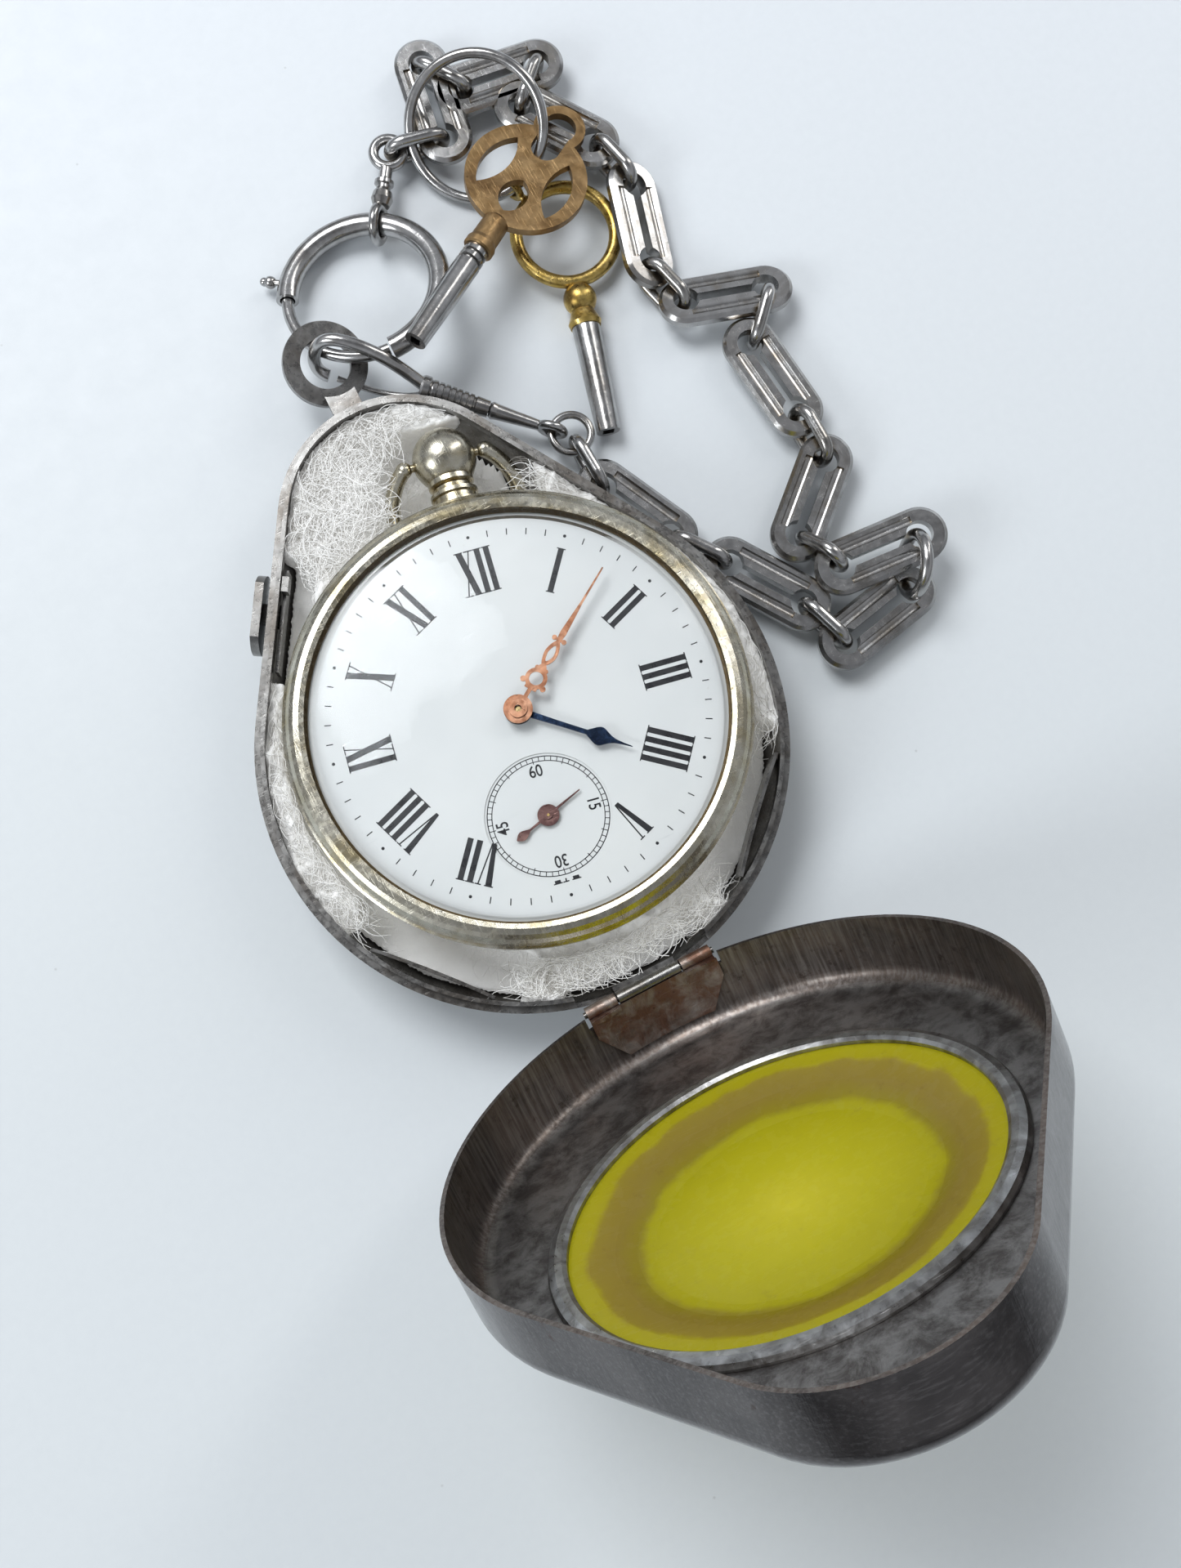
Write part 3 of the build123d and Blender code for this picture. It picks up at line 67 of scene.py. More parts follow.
# ------------------------------------------------------------ node helpers
class Mat:
    def __init__(self, name):
        self.m = bpy.data.materials.new(name)
        self.m.use_nodes = True
        self.t = self.m.node_tree
        self.t.nodes.clear()
        self.out = self.t.nodes.new("ShaderNodeOutputMaterial")
        self.co = self.t.nodes.new("ShaderNodeTexCoord").outputs["Object"]

    def n(self, typ, **kw):
        nd = self.t.nodes.new("ShaderNode" + typ)
        for k, v in kw.items():
            setattr(nd, k, v)
        return nd

    def put(self, sock, v):
        if isinstance(v, bpy.types.NodeSocket):
            self.t.links.new(v, sock)
        elif v is not None:
            if isinstance(v, (tuple, list)) and sock.type == "RGBA" and len(v) == 3:
                v = (*v, 1.0)
            sock.default_value = v

    def map(self, scale=(1, 1, 1), rot=(0, 0, 0), vec=None):
        nd = self.n("Mapping")
        self.put(nd.inputs["Vector"], vec or self.co)
        nd.inputs["Scale"].default_value = scale
        nd.inputs["Rotation"].default_value = rot
        return nd.outputs[0]

    def noise(self, scale, detail=4.0, rough=0.55, dist=0.0, vec=None):
        nd = self.n("TexNoise")
        self.put(nd.inputs["Vector"], vec or self.co)
        nd.inputs["Scale"].default_value = scale
        nd.inputs["Detail"].default_value = detail
        nd.inputs["Roughness"].default_value = rough
        nd.inputs["Distortion"].default_value = dist
        return nd.outputs["Fac"] if "Fac" in nd.outputs else nd.outputs[0]

    def voro(self, scale, feature="F1", vec=None):
        nd = self.n("TexVoronoi")
        nd.feature = feature
        self.put(nd.inputs["Vector"], vec or self.co)
        nd.inputs["Scale"].default_value = scale
        return nd.outputs["Distance"]

    def ramp(self, fac, *stops, interp="LINEAR"):
        nd = self.n("ValToRGB")
        r = nd.color_ramp
        r.interpolation = interp
        while len(r.elements) < len(stops):
            r.elements.new(0.5)
        for e, (p, c) in zip(r.elements, stops):
            e.position = p
            e.color = (c, c, c, 1) if isinstance(c, (int, float)) else (*c, 1)
        self.put(nd.inputs[0], fac)
        return nd.outputs[0]

    def mix(self, fac, a, b, blend="MIX"):
        nd = self.n("Mix", data_type="RGBA", blend_type=blend)
        self.put(nd.inputs[0], fac)
        self.put(nd.inputs[6], a)
        self.put(nd.inputs[7], b)
        return nd.outputs[2]

    def math(self, op, a, b=None, c=None, clamp=False):
        nd = self.n("Math", operation=op, use_clamp=clamp)
        self.put(nd.inputs[0], a)
        if b is not None:
            self.put(nd.inputs[1], b)
        if c is not None:
            self.put(nd.inputs[2], c)
        return nd.outputs[0]

    def ao(self, dist, samples=4, inside=False):
        nd = self.n("AmbientOcclusion", samples=samples, inside=inside)
        nd.inputs["Distance"].default_value = dist
        return nd.outputs["AO"]

    def bump(self, h, strength, dist, normal=None):
        nd = self.n("Bump")
        nd.inputs["Strength"].default_value = strength
        nd.inputs["Distance"].default_value = dist
        self.put(nd.inputs["Height"], h)
        if normal is not None:
            self.put(nd.inputs["Normal"], normal)
        return nd.outputs[0]

    def bsdf(self, **kw):
        nd = self.n("BsdfPrincipled")
        names = dict(color="Base Color", metal="Metallic", rough="Roughness", ior="IOR", alpha="Alpha", normal="Normal", spec="Specular IOR Level", trans="Transmission Weight",
                     coat="Coat Weight", coat_rough="Coat Roughness", sheen="Sheen Weight", sub="Subsurface Weight", sub_scale="Subsurface Scale", aniso="Anisotropic", emit="Emission Color", emit_s="Emission Strength")
        for k, v in kw.items():
            self.put(nd.inputs[names[k]], v)
        return nd.outputs[0]

    def done(self, shader):
        self.t.links.new(shader, self.out.inputs["Surface"])
        return self.m


def worn_metal(name, base, light, tarnish, grime_and_shade, rough=(0.22, 0.42), tarn=(0.46, 0.62), ao_d=1.4, scratch=0.5, big=160, bump=0.35, brown_in_grooves=None, metal=1.0, pit=1.0):
    """plated or plain metal with cloudy tarnish, fine scratches and small pits holding dark grime, plus near-black
    painted shade in its corners and crevices where ambient occlusion is high
    """
    M = Mat(name)
    cloud = M.noise(big, 6, 0.62, 0.6)
    fine = M.noise(1400, 5, 0.6)
    med = M.noise(520, 4, 0.55)
    s1 = M.noise(1.0, 2, 0.5, vec=M.map((9000, 420, 420), (0, 0, 0.5)))
    s2 = M.noise(1.0, 2, 0.5, vec=M.map((380, 7600, 420), (0.2, 0, -0.35)))
    scr = M.math("MAXIMUM", M.ramp(s1, (0.60, 0), (0.72, 1)), M.ramp(s2, (0.62, 0), (0.74, 1)))
    pits = M.ramp(M.voro(900), (0.0, 1), (0.16, 0))
    c = M.mix(M.ramp(med, (0.35, 0), (0.65, 1)), base, light)
    c = M.mix(M.math("MULTIPLY", M.ramp(cloud, (tarn[0], 0), (tarn[1], 1)), 0.85), c, tarnish)
    c = M.mix(M.math("MULTIPLY", pits, M.ramp(cloud, (0.42, 0), (0.6, 0.8 * pit))), c, grime_and_shade)
    # painted shade: the near-black grime colour is mixed into corners and crevices wherever ambient occlusion is high,
    # jittered by fine noise; the same mask also raises roughness there
    ao = M.ao(ao_d * MM, 6)
    cavity_shade = M.ramp(M.math("ADD", ao, M.math("MULTIPLY", M.math("SUBTRACT", fine, 0.5), 0.5)), (0.22, 1), (0.62, 0))
    if brown_in_grooves:
        c = M.mix(M.ramp(M.math("ADD", ao, M.math("MULTIPLY", M.math("SUBTRACT", med, 0.5), 0.9)), (0.55, 0.85), (0.86, 0)), c, brown_in_grooves)
    c = M.mix(cavity_shade, c, grime_and_shade)
    c = M.mix(M.math("MULTIPLY", scr, 0.25 * scratch), c, light)
    r = M.math("ADD", M.ramp(fine, (0.3, rough[0]), (0.7, rough[1])), M.math("MULTIPLY", cavity_shade, 0.3), clamp=True)
    r = M.math("ADD", r, M.math("MULTIPLY", scr, 0.12 * scratch), clamp=True)
    h = M.math("ADD", M.math("MULTIPLY", fine, 0.5), M.math("MULTIPLY", scr, -0.5 * scratch))
    h = M.math("ADD", h, M.math("MULTIPLY", med, 0.8))
    h = M.math("SUBTRACT", h, M.math("MULTIPLY", pits, 0.5))
    nrm = M.bump(h, bump, 0.00006)
    return M.done(M.bsdf(color=c, metal=metal, rough=r, normal=nrm))


STEEL = worn_metal("worn_nickel_steel", (0.19, 0.185, 0.178), (0.31, 0.305, 0.295), (0.14, 0.125, 0.11), (0.03, 0.026, 0.023), rough=(0.2, 0.4), scratch=0.4, pit=0.5)
CHAIN = worn_metal("chain_steel", (0.36, 0.355, 0.35), (0.46, 0.455, 0.45), (0.28, 0.265, 0.245), (0.05, 0.045, 0.04), rough=(0.18, 0.28), ao_d=0.8, brown_in_grooves=(0.27, 0.21, 0.135), bump=0.22, scratch=0.25, pit=0.25)
FIT = worn_metal("fitting_steel", (0.36, 0.355, 0.35), (0.50, 0.495, 0.49), (0.28, 0.265, 0.25), (0.035, 0.03, 0.027), rough=(0.14, 0.27), ao_d=1.0, bump=0.2, scratch=0.3, pit=0.25)
SILVER = worn_metal("tarnished_silver", (0.46, 0.43, 0.345), (0.60, 0.575, 0.49), (0.36, 0.30, 0.17), (0.10, 0.07, 0.035), rough=(0.16, 0.34), tarn=(0.5, 0.66), ao_d=0.9, brown_in_grooves=(0.40, 0.30, 0.12), bump=0.22, scratch=0.7)
GILT = worn_metal("gilt_brass", (0.72, 0.52, 0.22), (0.85, 0.68, 0.36), (0.55, 0.36, 0.14), (0.14, 0.08, 0.03), rough=(0.22, 0.38), ao_d=0.8)
POLISH = worn_metal("polished_steel", (0.5, 0.5, 0.51), (0.7, 0.7, 0.72), (0.4, 0.38, 0.36), (0.08, 0.07, 0.06), rough=(0.12, 0.25), ao_d=0.5, scratch=0.3)
BLUE = worn_metal("blued_steel", (0.018, 0.03, 0.062), (0.03, 0.055, 0.11), (0.012, 0.018, 0.035), (0.01, 0.01, 0.015), rough=(0.2, 0.35), ao_d=0.2)
ROSE = worn_metal("rose_gilt", (0.40, 0.175, 0.095), (0.56, 0.31, 0.20), (0.24, 0.10, 0.055), (0.12, 0.05, 0.03), rough=(0.25, 0.42), ao_d=0.25, tarn=(0.44, 0.62), big=900)
BROWNST = worn_metal("brown_steel", (0.13, 0.07, 0.065), (0.27, 0.16, 0.14), (0.1, 0.05, 0.05), (0.02, 0.01, 0.01), rough=(0.25, 0.4), ao_d=0.2, big=900)
BRASS = worn_metal("dull_key_brass", (0.25, 0.155, 0.068), (0.40, 0.265, 0.13), (0.14, 0.08, 0.037), (0.05, 0.028, 0.012), rough=(0.3, 0.48), tarn=(0.48, 0.66), ao_d=1.0, scratch=0.9)
GOLD = worn_metal("worn_gilt_key", (0.42, 0.28, 0.06), (0.62, 0.46, 0.17), (0.22, 0.14, 0.045), (0.06, 0.035, 0.01), rough=(0.2, 0.42), tarn=(0.47, 0.6), big=330, ao_d=1.3, bump=0.5)


def lid_material():
    """pressed lid: brushed oxidised steel inside, mottled flat, dark glossy outside with rust spots, judged in the lid's own closed frame"""
    M = Mat("oxidised_lid_steel")
    v = M.n("VectorRotate", rotation_type="X_AXIS")
    M.put(v.inputs["Vector"], M.co)
    v.inputs["Center"].default_value = (0, -0.028, 0.00935)
    v.inputs["Angle"].default_value = math.radians(-113.9)
    vn = M.n("VectorRotate", rotation_type="X_AXIS")
    M.put(vn.inputs["Vector"], M.n("NewGeometry").outputs["True Normal"])
    vn.inputs["Angle"].default_value = math.radians(-113.9)
    sp, sn = M.n("SeparateXYZ"), M.n("SeparateXYZ")
    M.put(sp.inputs[0], v.outputs[0])
    M.put(sn.inputs[0], vn.outputs[0])
    x, y, z = sp.outputs
    yy = M.math("SUBTRACT", y, 0.006)
    outw = M.math("ADD", M.math("MULTIPLY", x, sn.outputs[0]), M.math("MULTIPLY", yy, sn.outputs[1]))
    outw = M.math("ADD", outw, M.math("MULTIPLY", sn.outputs[2], 0.02))
    outside = M.ramp(M.math("MULTIPLY_ADD", outw, 60.0, 0.5), (0.47, 0), (0.53, 1))
    cl = v.outputs[0]
    cloud = M.noise(120, 8, 0.65, 0.9, vec=cl)
    grain = M.noise(700, 8, 0.7, vec=cl)
    brush = M.noise(1.0, 3, 0.6, vec=M.map((2600, 2600, 160), (0.25, 0.1, 0), vec=cl))
    brush2 = M.noise(1.0, 3, 0.6, vec=M.map((500, 3600, 3600), (0, 0, 0.3), vec=cl))
    ins = M.mix(M.ramp(cloud, (0.36, 0), (0.62, 1)), (0.085, 0.072, 0.066), (0.165, 0.13, 0.11))
    ins = M.mix(M.ramp(brush, (0.4, 0), (0.7, 0.6)), ins, (0.3, 0.275, 0.255))
    ins = M.mix(M.ramp(grain, (0.56, 0), (0.68, 0.75)), ins, (0.05, 0.035, 0.028))
    flat = M.mix(M.ramp(M.noise(330, 9, 0.72, 0.4, vec=cl), (0.42, 0), (0.6, 1)), (0.26, 0.255, 0.25), (0.085, 0.08, 0.078))
    isflat = M.ramp(z, (0.0150, 0), (0.0158, 1))
    isflat = M.math("MULTIPLY", isflat, M.ramp(M.math("ABSOLUTE", sn.outputs[2]), (0.7, 0), (0.95, 1)))
    ins = M.mix(isflat, ins, flat)
    out = M.mix(M.ramp(cloud, (0.4, 0), (0.7, 1)), (0.075, 0.07, 0.07), (0.13, 0.12, 0.118))
    out = M.mix(M.ramp(M.noise(210, 5, 0.6, 0.3, vec=cl), (0.66, 0), (0.70, 0.9)), out, (0.055, 0.03, 0.024))
    out = M.mix(M.ramp(brush2, (0.5, 0), (0.72, 0.35)), out, (0.26, 0.25, 0.25))
    c = M.mix(outside, ins, out)
    # painted shade: near-black is mixed into the lid's corners and creases where ambient occlusion is high
    ao = M.ao(0.0012, 6)
    c = M.mix(M.ramp(ao, (0.35, 0.8), (0.75, 0)), c, (0.03, 0.024, 0.02))
    r = M.mix(outside, M.ramp(grain, (0.3, 0.27), (0.7, 0.48)), M.ramp(grain, (0.3, 0.12), (0.7, 0.24)))
    h = M.math("ADD", M.math("MULTIPLY", grain, 0.8), M.math("MULTIPLY", brush, 0.5))
    return M.done(M.bsdf(color=c, metal=0.92, rough=r, normal=M.bump(h, 0.35, 0.00007)))


LID = lid_material()
BEAD = worn_metal("bead_steel", (0.33, 0.33, 0.325), (0.5, 0.5, 0.5), (0.2, 0.19, 0.18), (0.04, 0.035, 0.03), rough=(0.25, 0.42), ao_d=0.8, tarn=(0.42, 0.6), big=420)
RUST = worn_metal("rusty_leaf", (0.2, 0.155, 0.13), (0.36, 0.32, 0.29), (0.16, 0.075, 0.045), (0.05, 0.025, 0.018), rough=(0.34, 0.6), ao_d=0.8, tarn=(0.36, 0.56), big=420, bump=0.6)


def celluloid():
    M = Mat("yellow_celluloid")
    v = M.n("VectorRotate", rotation_type="X_AXIS")
    M.put(v.inputs["Vector"], M.co)
    v.inputs["Center"].default_value = (0, -0.028, 0.00935)
    v.inputs["Angle"].default_value = math.radians(-113.9)
    sp = M.n("SeparateXYZ")
    M.put(sp.inputs[0], v.outputs[0])
    dx, dy = sp.outputs[0], M.math("SUBTRACT", sp.outputs[1], 0.00473)
    r = M.math("SQRT", M.math("ADD", M.math("MULTIPLY", dx, dx), M.math("MULTIPLY", dy, dy)))
    r = M.math("MULTIPLY", r, 50.0)
    wob = M.math("MULTIPLY", M.math("SUBTRACT", M.noise(130, 5, 0.6, vec=v.outputs[0]), 0.5), 0.16)
    rw = M.math("ADD", r, wob)
    c = M.ramp(rw, (0.0, (0.78, 0.72, 0.05)), (0.35, (0.66, 0.62, 0.02)), (0.66, (0.56, 0.52, 0.012)), (0.70, (0.40, 0.33, 0.03)), (0.78, (0.40, 0.30, 0.06)), (0.885, (0.43, 0.33, 0.05)), (0.91, (0.56, 0.50, 0.02)), (1.0, (0.60, 0.55, 0.012)))
    sm = M.ramp(M.noise(900, 7, 0.7, vec=v.outputs[0]), (0.58, 0), (0.75, 0.55))
    c = M.mix(M.math("MULTIPLY", sm, M.ramp(rw, (0.5, 0.2), (0.75, 1.0), (0.97, 0.6))), c, (0.22, 0.13, 0.03))
    scr = M.ramp(M.noise(1, 2, 0.5, vec=M.map((300, 5200, 300), (0, 0, 0.7), vec=v.outputs[0])), (0.62, 0), (0.74, 1))
    rough = M.math("ADD", M.ramp(M.noise(600, 5, vec=v.outputs[0]), (0.3, 0.16), (0.7, 0.34)), M.math("MULTIPLY", scr, 0.2), clamp=True)
    b = M.bsdf(color=c, rough=rough, ior=1.5, spec=0.5, normal=M.bump(M.math("ADD", M.noise(160, 3, vec=v.outputs[0]), M.math("MULTIPLY", scr, 0.1)), 0.25, 0.0003))
    tr = M.n("BsdfTranslucent")
    M.put(tr.inputs["Color"], M.mix(0.25, c, (0.95, 0.9, 0.12)))
    mx = M.n("MixShader")
    mx.inputs[0].default_value = 0.62
    M.put(mx.inputs[1], b)
    M.put(mx.inputs[2], tr.outputs[0])
    return M.done(mx.outputs[0])


def enamel():
    M = Mat("white_enamel")
    c = M.mix(M.ramp(M.noise(90, 5), (0.3, 0), (0.7, 1)), (0.70, 0.715, 0.715), (0.75, 0.76, 0.755))
    c = M.mix(M.ramp(M.noise(2600, 3), (0.72, 0), (0.78, 0.5)), c, (0.45, 0.42, 0.38))
    # painted shade: a warm grey is mixed into the dial where ambient occlusion is high, beside raised parts
    ao = M.ao(0.0006, 4)
    c = M.mix(M.ramp(ao, (0.3, 0.5), (0.8, 0)), c, (0.5, 0.48, 0.44))
    return M.done(M.bsdf(color=c, rough=M.ramp(M.noise(500), (0.3, 0.10), (0.7, 0.2)), coat=0.5, coat_rough=0.05, normal=M.bump(M.noise(700, 2), 0.08, 0.00003)))


def ink(name, c1, c2):
    M = Mat(name)
    return M.done(M.bsdf(color=M.mix(M.noise(1500, 3), c1, c2), rough=M.ramp(M.noise(900), (0.3, 0.22), (0.7, 0.4)), coat=0.3))


def glass():
    M = Mat("watch_glass")
    lw = M.n("LayerWeight")
    lw.inputs["Blend"].default_value = 0.13
    g = M.bsdf(color=(1, 1, 1), metal=0.0, rough=M.ramp(M.noise(300), (0.3, 0.015), (0.7, 0.05)), spec=1.0, coat=1.0)
    gl = M.n("BsdfAnisotropic")
    M.put(gl.inputs["Color"], (0.95, 0.97, 1.0))
    M.put(gl.inputs["Roughness"], M.ramp(M.noise(300), (0.3, 0.02), (0.7, 0.07)))
    tr = M.n("BsdfTransparent")
    M.put(tr.inputs["Color"], (0.985, 0.99, 0.99))
    mx = M.n("MixShader")
    scr = M.ramp(M.noise(1, 2, 0.5, vec=M.map((260, 6000, 260), (0, 0, 0.9))), (0.68, 0), (0.76, 0.05))
    M.put(mx.inputs[0], M.math("ADD", M.math("MULTIPLY", lw.outputs["Fresnel"], 0.9), scr, clamp=True))
    M.put(mx.inputs[1], tr.outputs[0])
    M.put(mx.inputs[2], gl.outputs[0])
    return M.done(mx.outputs[0])


def cotton(name, dark):
    M = Mat(name)
    c = M.mix(M.ramp(M.noise(420, 6, 0.7), (0.35, 0), (0.7, 1)), (0.92, 0.92, 0.905), (0.98, 0.98, 0.97))
    if dark:
        c = M.mix(0.75, c, (0.2, 0.18, 0.15))
    # painted shade: a warm grey is mixed into the wool's hollows where ambient occlusion is high
    ao = M.ao(0.0022, 6)
    c = M.mix(M.ramp(ao, (0.05, 0.5), (0.4, 0)), c, (0.7, 0.68, 0.64))
    # painted light: the wool also emits its own colour at strength 0.10, so it glows without a lamp
    return M.done(M.bsdf(color=c, rough=0.95, sheen=0.4, emit=c, emit_s=0.10, normal=M.bump(M.noise(2600, 6, 0.75), 0.6, 0.0002)))


CELL, ENAMEL, GLASS, COT, COTD = celluloid(), enamel(), glass(), cotton("cotton_wool", False), cotton("cotton_dark_fibre", True)
INK = ink("dial_black", (0.006, 0.006, 0.008), (0.014, 0.014, 0.018))

slot_mat = {"nickel_steel": STEEL, "lid_steel": LID, "watch_silver": SILVER, "gilt_brass": GILT, "polished_steel": POLISH, "spring_blue": BLUE, "chain_steel": CHAIN,
            "cotton": COT, "celluloid": CELL, "enamel": ENAMEL, "crystal_glass": GLASS, "rose_gold": ROSE, "blued_steel": BLUE, "brown_steel": BROWNST, "key_brass": BRASS, "key_gilt": GOLD}
node_mat = {"window_bead_ring": BEAD, "lid_hinge_leaf": RUST, "bolt_ring": FIT, "bolt_slider": FIT, "bolt_ring_swivel": FIT, "clasp_body": FIT, "clasp_lever": FIT, "clasp_eye": FIT,
            "key_ring": FIT, "key_1_pipe": FIT, "key_2_pipe": FIT, "hanger_ring": STEEL}
slots = {s["node"]: s["material_slot"] for s in REC["subparts"]}
for name, o in N.items():
    mat = node_mat.get(name) or slot_mat[slots[name]]
    o.data.materials.clear()
    o.data.materials.append(mat)
    for p in o.data.polygons:
        p.material_index = 0

# ------------------------------------------------------------ watch frame
o_ = Vector((0.60, 2.53, 13.20)) * MM
ax = Vector((-0.0659, -0.0088, 0.0))
q = Quaternion(ax.normalized(), ax.length)
X = q @ Vector((math.cos(-0.1968), math.sin(-0.1968), 0.0))
Z = q @ Vector((0, 0, 1))
Y = Z.cross(X)
WL = Matrix((X, Y, Z)).transposed().to_4x4()
WL.translation = o_


def piece(name, bm, mat, body):
    me = bpy.data.meshes.new(name)
    bmesh.ops.recalc_face_normals(bm, faces=bm.faces)
    bm.to_mesh(me)
    bm.free()
    me.materials.append(mat)
    ob = bpy.data.objects.new(name, me)
    sc.collection.objects.link(ob)
    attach(ob, body)
    return ob


def prism(bm, pts, w0, w1):
    """closed thin prism from local mm outline pts between local heights w0 and w1"""
    a = [bm.verts.new(WL @ (Vector((x, y, w0)) * MM)) for x, y in pts]
    b = [bm.verts.new(WL @ (Vector((x, y, w1)) * MM)) for x, y in pts]
    n = len(pts)
    bm.faces.new(a[::-1])
    bm.faces.new(b)
    for i in range(n):
        j = (i + 1) % n
        bm.faces.new((a[i], a[j], b[j], b[i]))


def ring(bm, cx, cy, ri, ro, w0, w1, n=180):
    vs = []
    for i in range(n):
        a = 2 * math.pi * i / n
        c, s = math.cos(a), math.sin(a)
        vs.append([bm.verts.new(WL @ (Vector((cx + r * c, cy + r * s, w)) * MM)) for r, w in ((ri, w0), (ro, w0), (ro, w1), (ri, w1))])
    for i in range(n):
        p, q_ = vs[i], vs[(i + 1) % n]
        for k in range(4):
            bm.faces.new((p[k], p[(k + 1) % 4], q_[(k + 1) % 4], q_[k]))


DW0, DW1 = -0.021, -0.008


def place(pts, ang, r0=0.0, c=(0, 0)):
    """outline in (across, outward) to dial coordinates at clockwise angle ang (deg)"""
    a = math.radians(ang)
    cs, sn = math.cos(a), math.sin(a)
    return [(c[0] + x * cs + (y + r0) * sn, c[1] - x * sn + (y + r0) * cs) for x, y in pts]


NUM_IN, NUM_OUT = 13.2, 18.15
ADV = {"I": 0.98, "V": 1.9, "X": 1.95}


def numeral(bm, txt, ang, cut=None):
    tot = sum(ADV[c] for c in txt)
    x = -tot / 2
    y0, y1 = NUM_IN, NUM_OUT
    for c in txt:
        w = ADV[c]
        quads = []
        k = 0.30
        if c == "I":
            xc = x + w / 2
            quads.append([(xc - k, y0), (xc + k, y0), (xc + k, y1), (xc - k, y1)])
            quads.append([(xc - 0.46, y0), (xc + 0.46, y0), (xc + 0.46, y0 + 0.12), (xc - 0.46, y0 + 0.12)])
            quads.append([(xc - 0.46, y1 - 0.12), (xc + 0.46, y1 - 0.12), (xc + 0.46, y1), (xc - 0.46, y1)])
        elif c == "V":
            xm = x + w / 2
            quads.append([(xm - 0.2, y0), (xm + 0.18, y0), (x + 0.78, y1), (x + 0.12, y1)])
            quads.append([(xm + 0.02, y0), (xm + 0.16, y0), (x + w - 0.28, y1), (x + w - 0.42, y1)])
            quads.append([(x - 0.02, y1 - 0.12), (x + 0.92, y1 - 0.12), (x + 0.92, y1), (x - 0.02, y1)])
            quads.append([(x + w - 0.66, y1 - 0.12), (x + w - 0.04, y1 - 0.12), (x + w - 0.04, y1), (x + w - 0.66, y1)])
        else:
            quads.append([(x + w - 0.82, y0), (x + w - 0.16, y0), (x + 0.82, y1), (x + 0.16, y1)])
            quads.append([(x + 0.3, y0), (x + 0.43, y0), (x + w - 0.30, y1), (x + w - 0.43, y1)])
            for yy in (y0, y1 - 0.12):
                quads.append([(x, yy), (x + 0.92, yy), (x + 0.92, yy + 0.12), (x, yy + 0.12)])
                quads.append([(x + w - 0.92, yy), (x + w, yy), (x + w, yy + 0.12), (x + w - 0.92, yy + 0.12)])
        for i, qd in enumerate(quads):
            if cut:
                top = max(p[1] for p in qd)
                if top <= cut + 0.05:
                    continue
                (ax_, ay), (bx_, by), (cx_, cy_), (dx_, dy_) = qd
                if ay < cut:
                    t = (cut - ay) / (dy_ - ay)
                    qd = [(ax_ + (dx_ - ax_) * t, cut), (bx_ + (cx_ - bx_) * t, cut), (cx_, cy_), (dx_, dy_)]
            prism(bm, place(qd, ang), DW0, DW1 + 0.0006 * i)
        x += w


bm = bmesh.new()
for i, t in enumerate(["XII", "I", "II", "III", "IIII", "V", "VI", "VII", "VIII", "IX", "X", "XI"]):
    numeral(bm, t, 30 * i, cut={6: 17.75, 5: 13.75, 7: 13.75}.get(i))
piece("dial_numerals", bm, INK, "watch")
bm = bmesh.new()
for i in range(60):
    if i % 5:
        prism(bm, place([(-0.055, 19.15), (0.055, 19.15), (0.055, 19.85), (-0.055, 19.85)], 6 * i), DW0, DW1)
    else:
        prism(bm, place([(0.17 * math.cos(2 * math.pi * k / 20), 19.52 + 0.17 * math.sin(2 * math.pi * k / 20)) for k in range(20)], 6 * i), DW0, DW1)
piece("minute_track", bm, INK, "watch")
bm = bmesh.new()
SV = -11.15
S0, S1 = -0.141, -0.128
ring(bm, 0, SV, 6.15, 6.25, S0, S1)
ring(bm, 0, SV, 5.68, 5.77, S0, S1)
for i in range(60):
    L = 5.5 if i % 5 == 0 else 5.74
    prism(bm, place([(-0.04, L), (0.04, L), (0.04, 6.2), (-0.04, 6.2)], 6 * i, c=(0, SV)), S0, S1)
piece("seconds_track", bm, INK, "watch")
for txt, ang in (("60", 0), ("15", 90), ("30", 180), ("45", 270)):
    cu = bpy.data.curves.new("sec_" + txt, "FONT")
    cu.body = txt
    cu.size = 1.75
    cu.align_x, cu.align_y = "CENTER", "CENTER"
    cu.extrude = 0.005
    cu.offset = 0.02
    tmp = bpy.data.objects.new("tmp", cu)
    sc.collection.objects.link(tmp)
    bpy.context.view_layer.update()
    me = bpy.data.meshes.new_from_object(tmp.evaluated_get(bpy.context.evaluated_depsgraph_get()))
    bpy.data.objects.remove(tmp)
    a = math.radians(ang)
    for v in me.vertices:
        (px, py), = place([(v.co.x * 0.82, v.co.y)], ang, 4.72, (0, SV))
        v.co = WL @ (Vector((px, py, -0.132 + v.co.z)) * MM)
    me.materials.clear()
    me.materials.append(INK)
    ob = bpy.data.objects.new("seconds_numeral_" + txt, me)
    sc.collection.objects.link(ob)
    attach(ob, "watch")

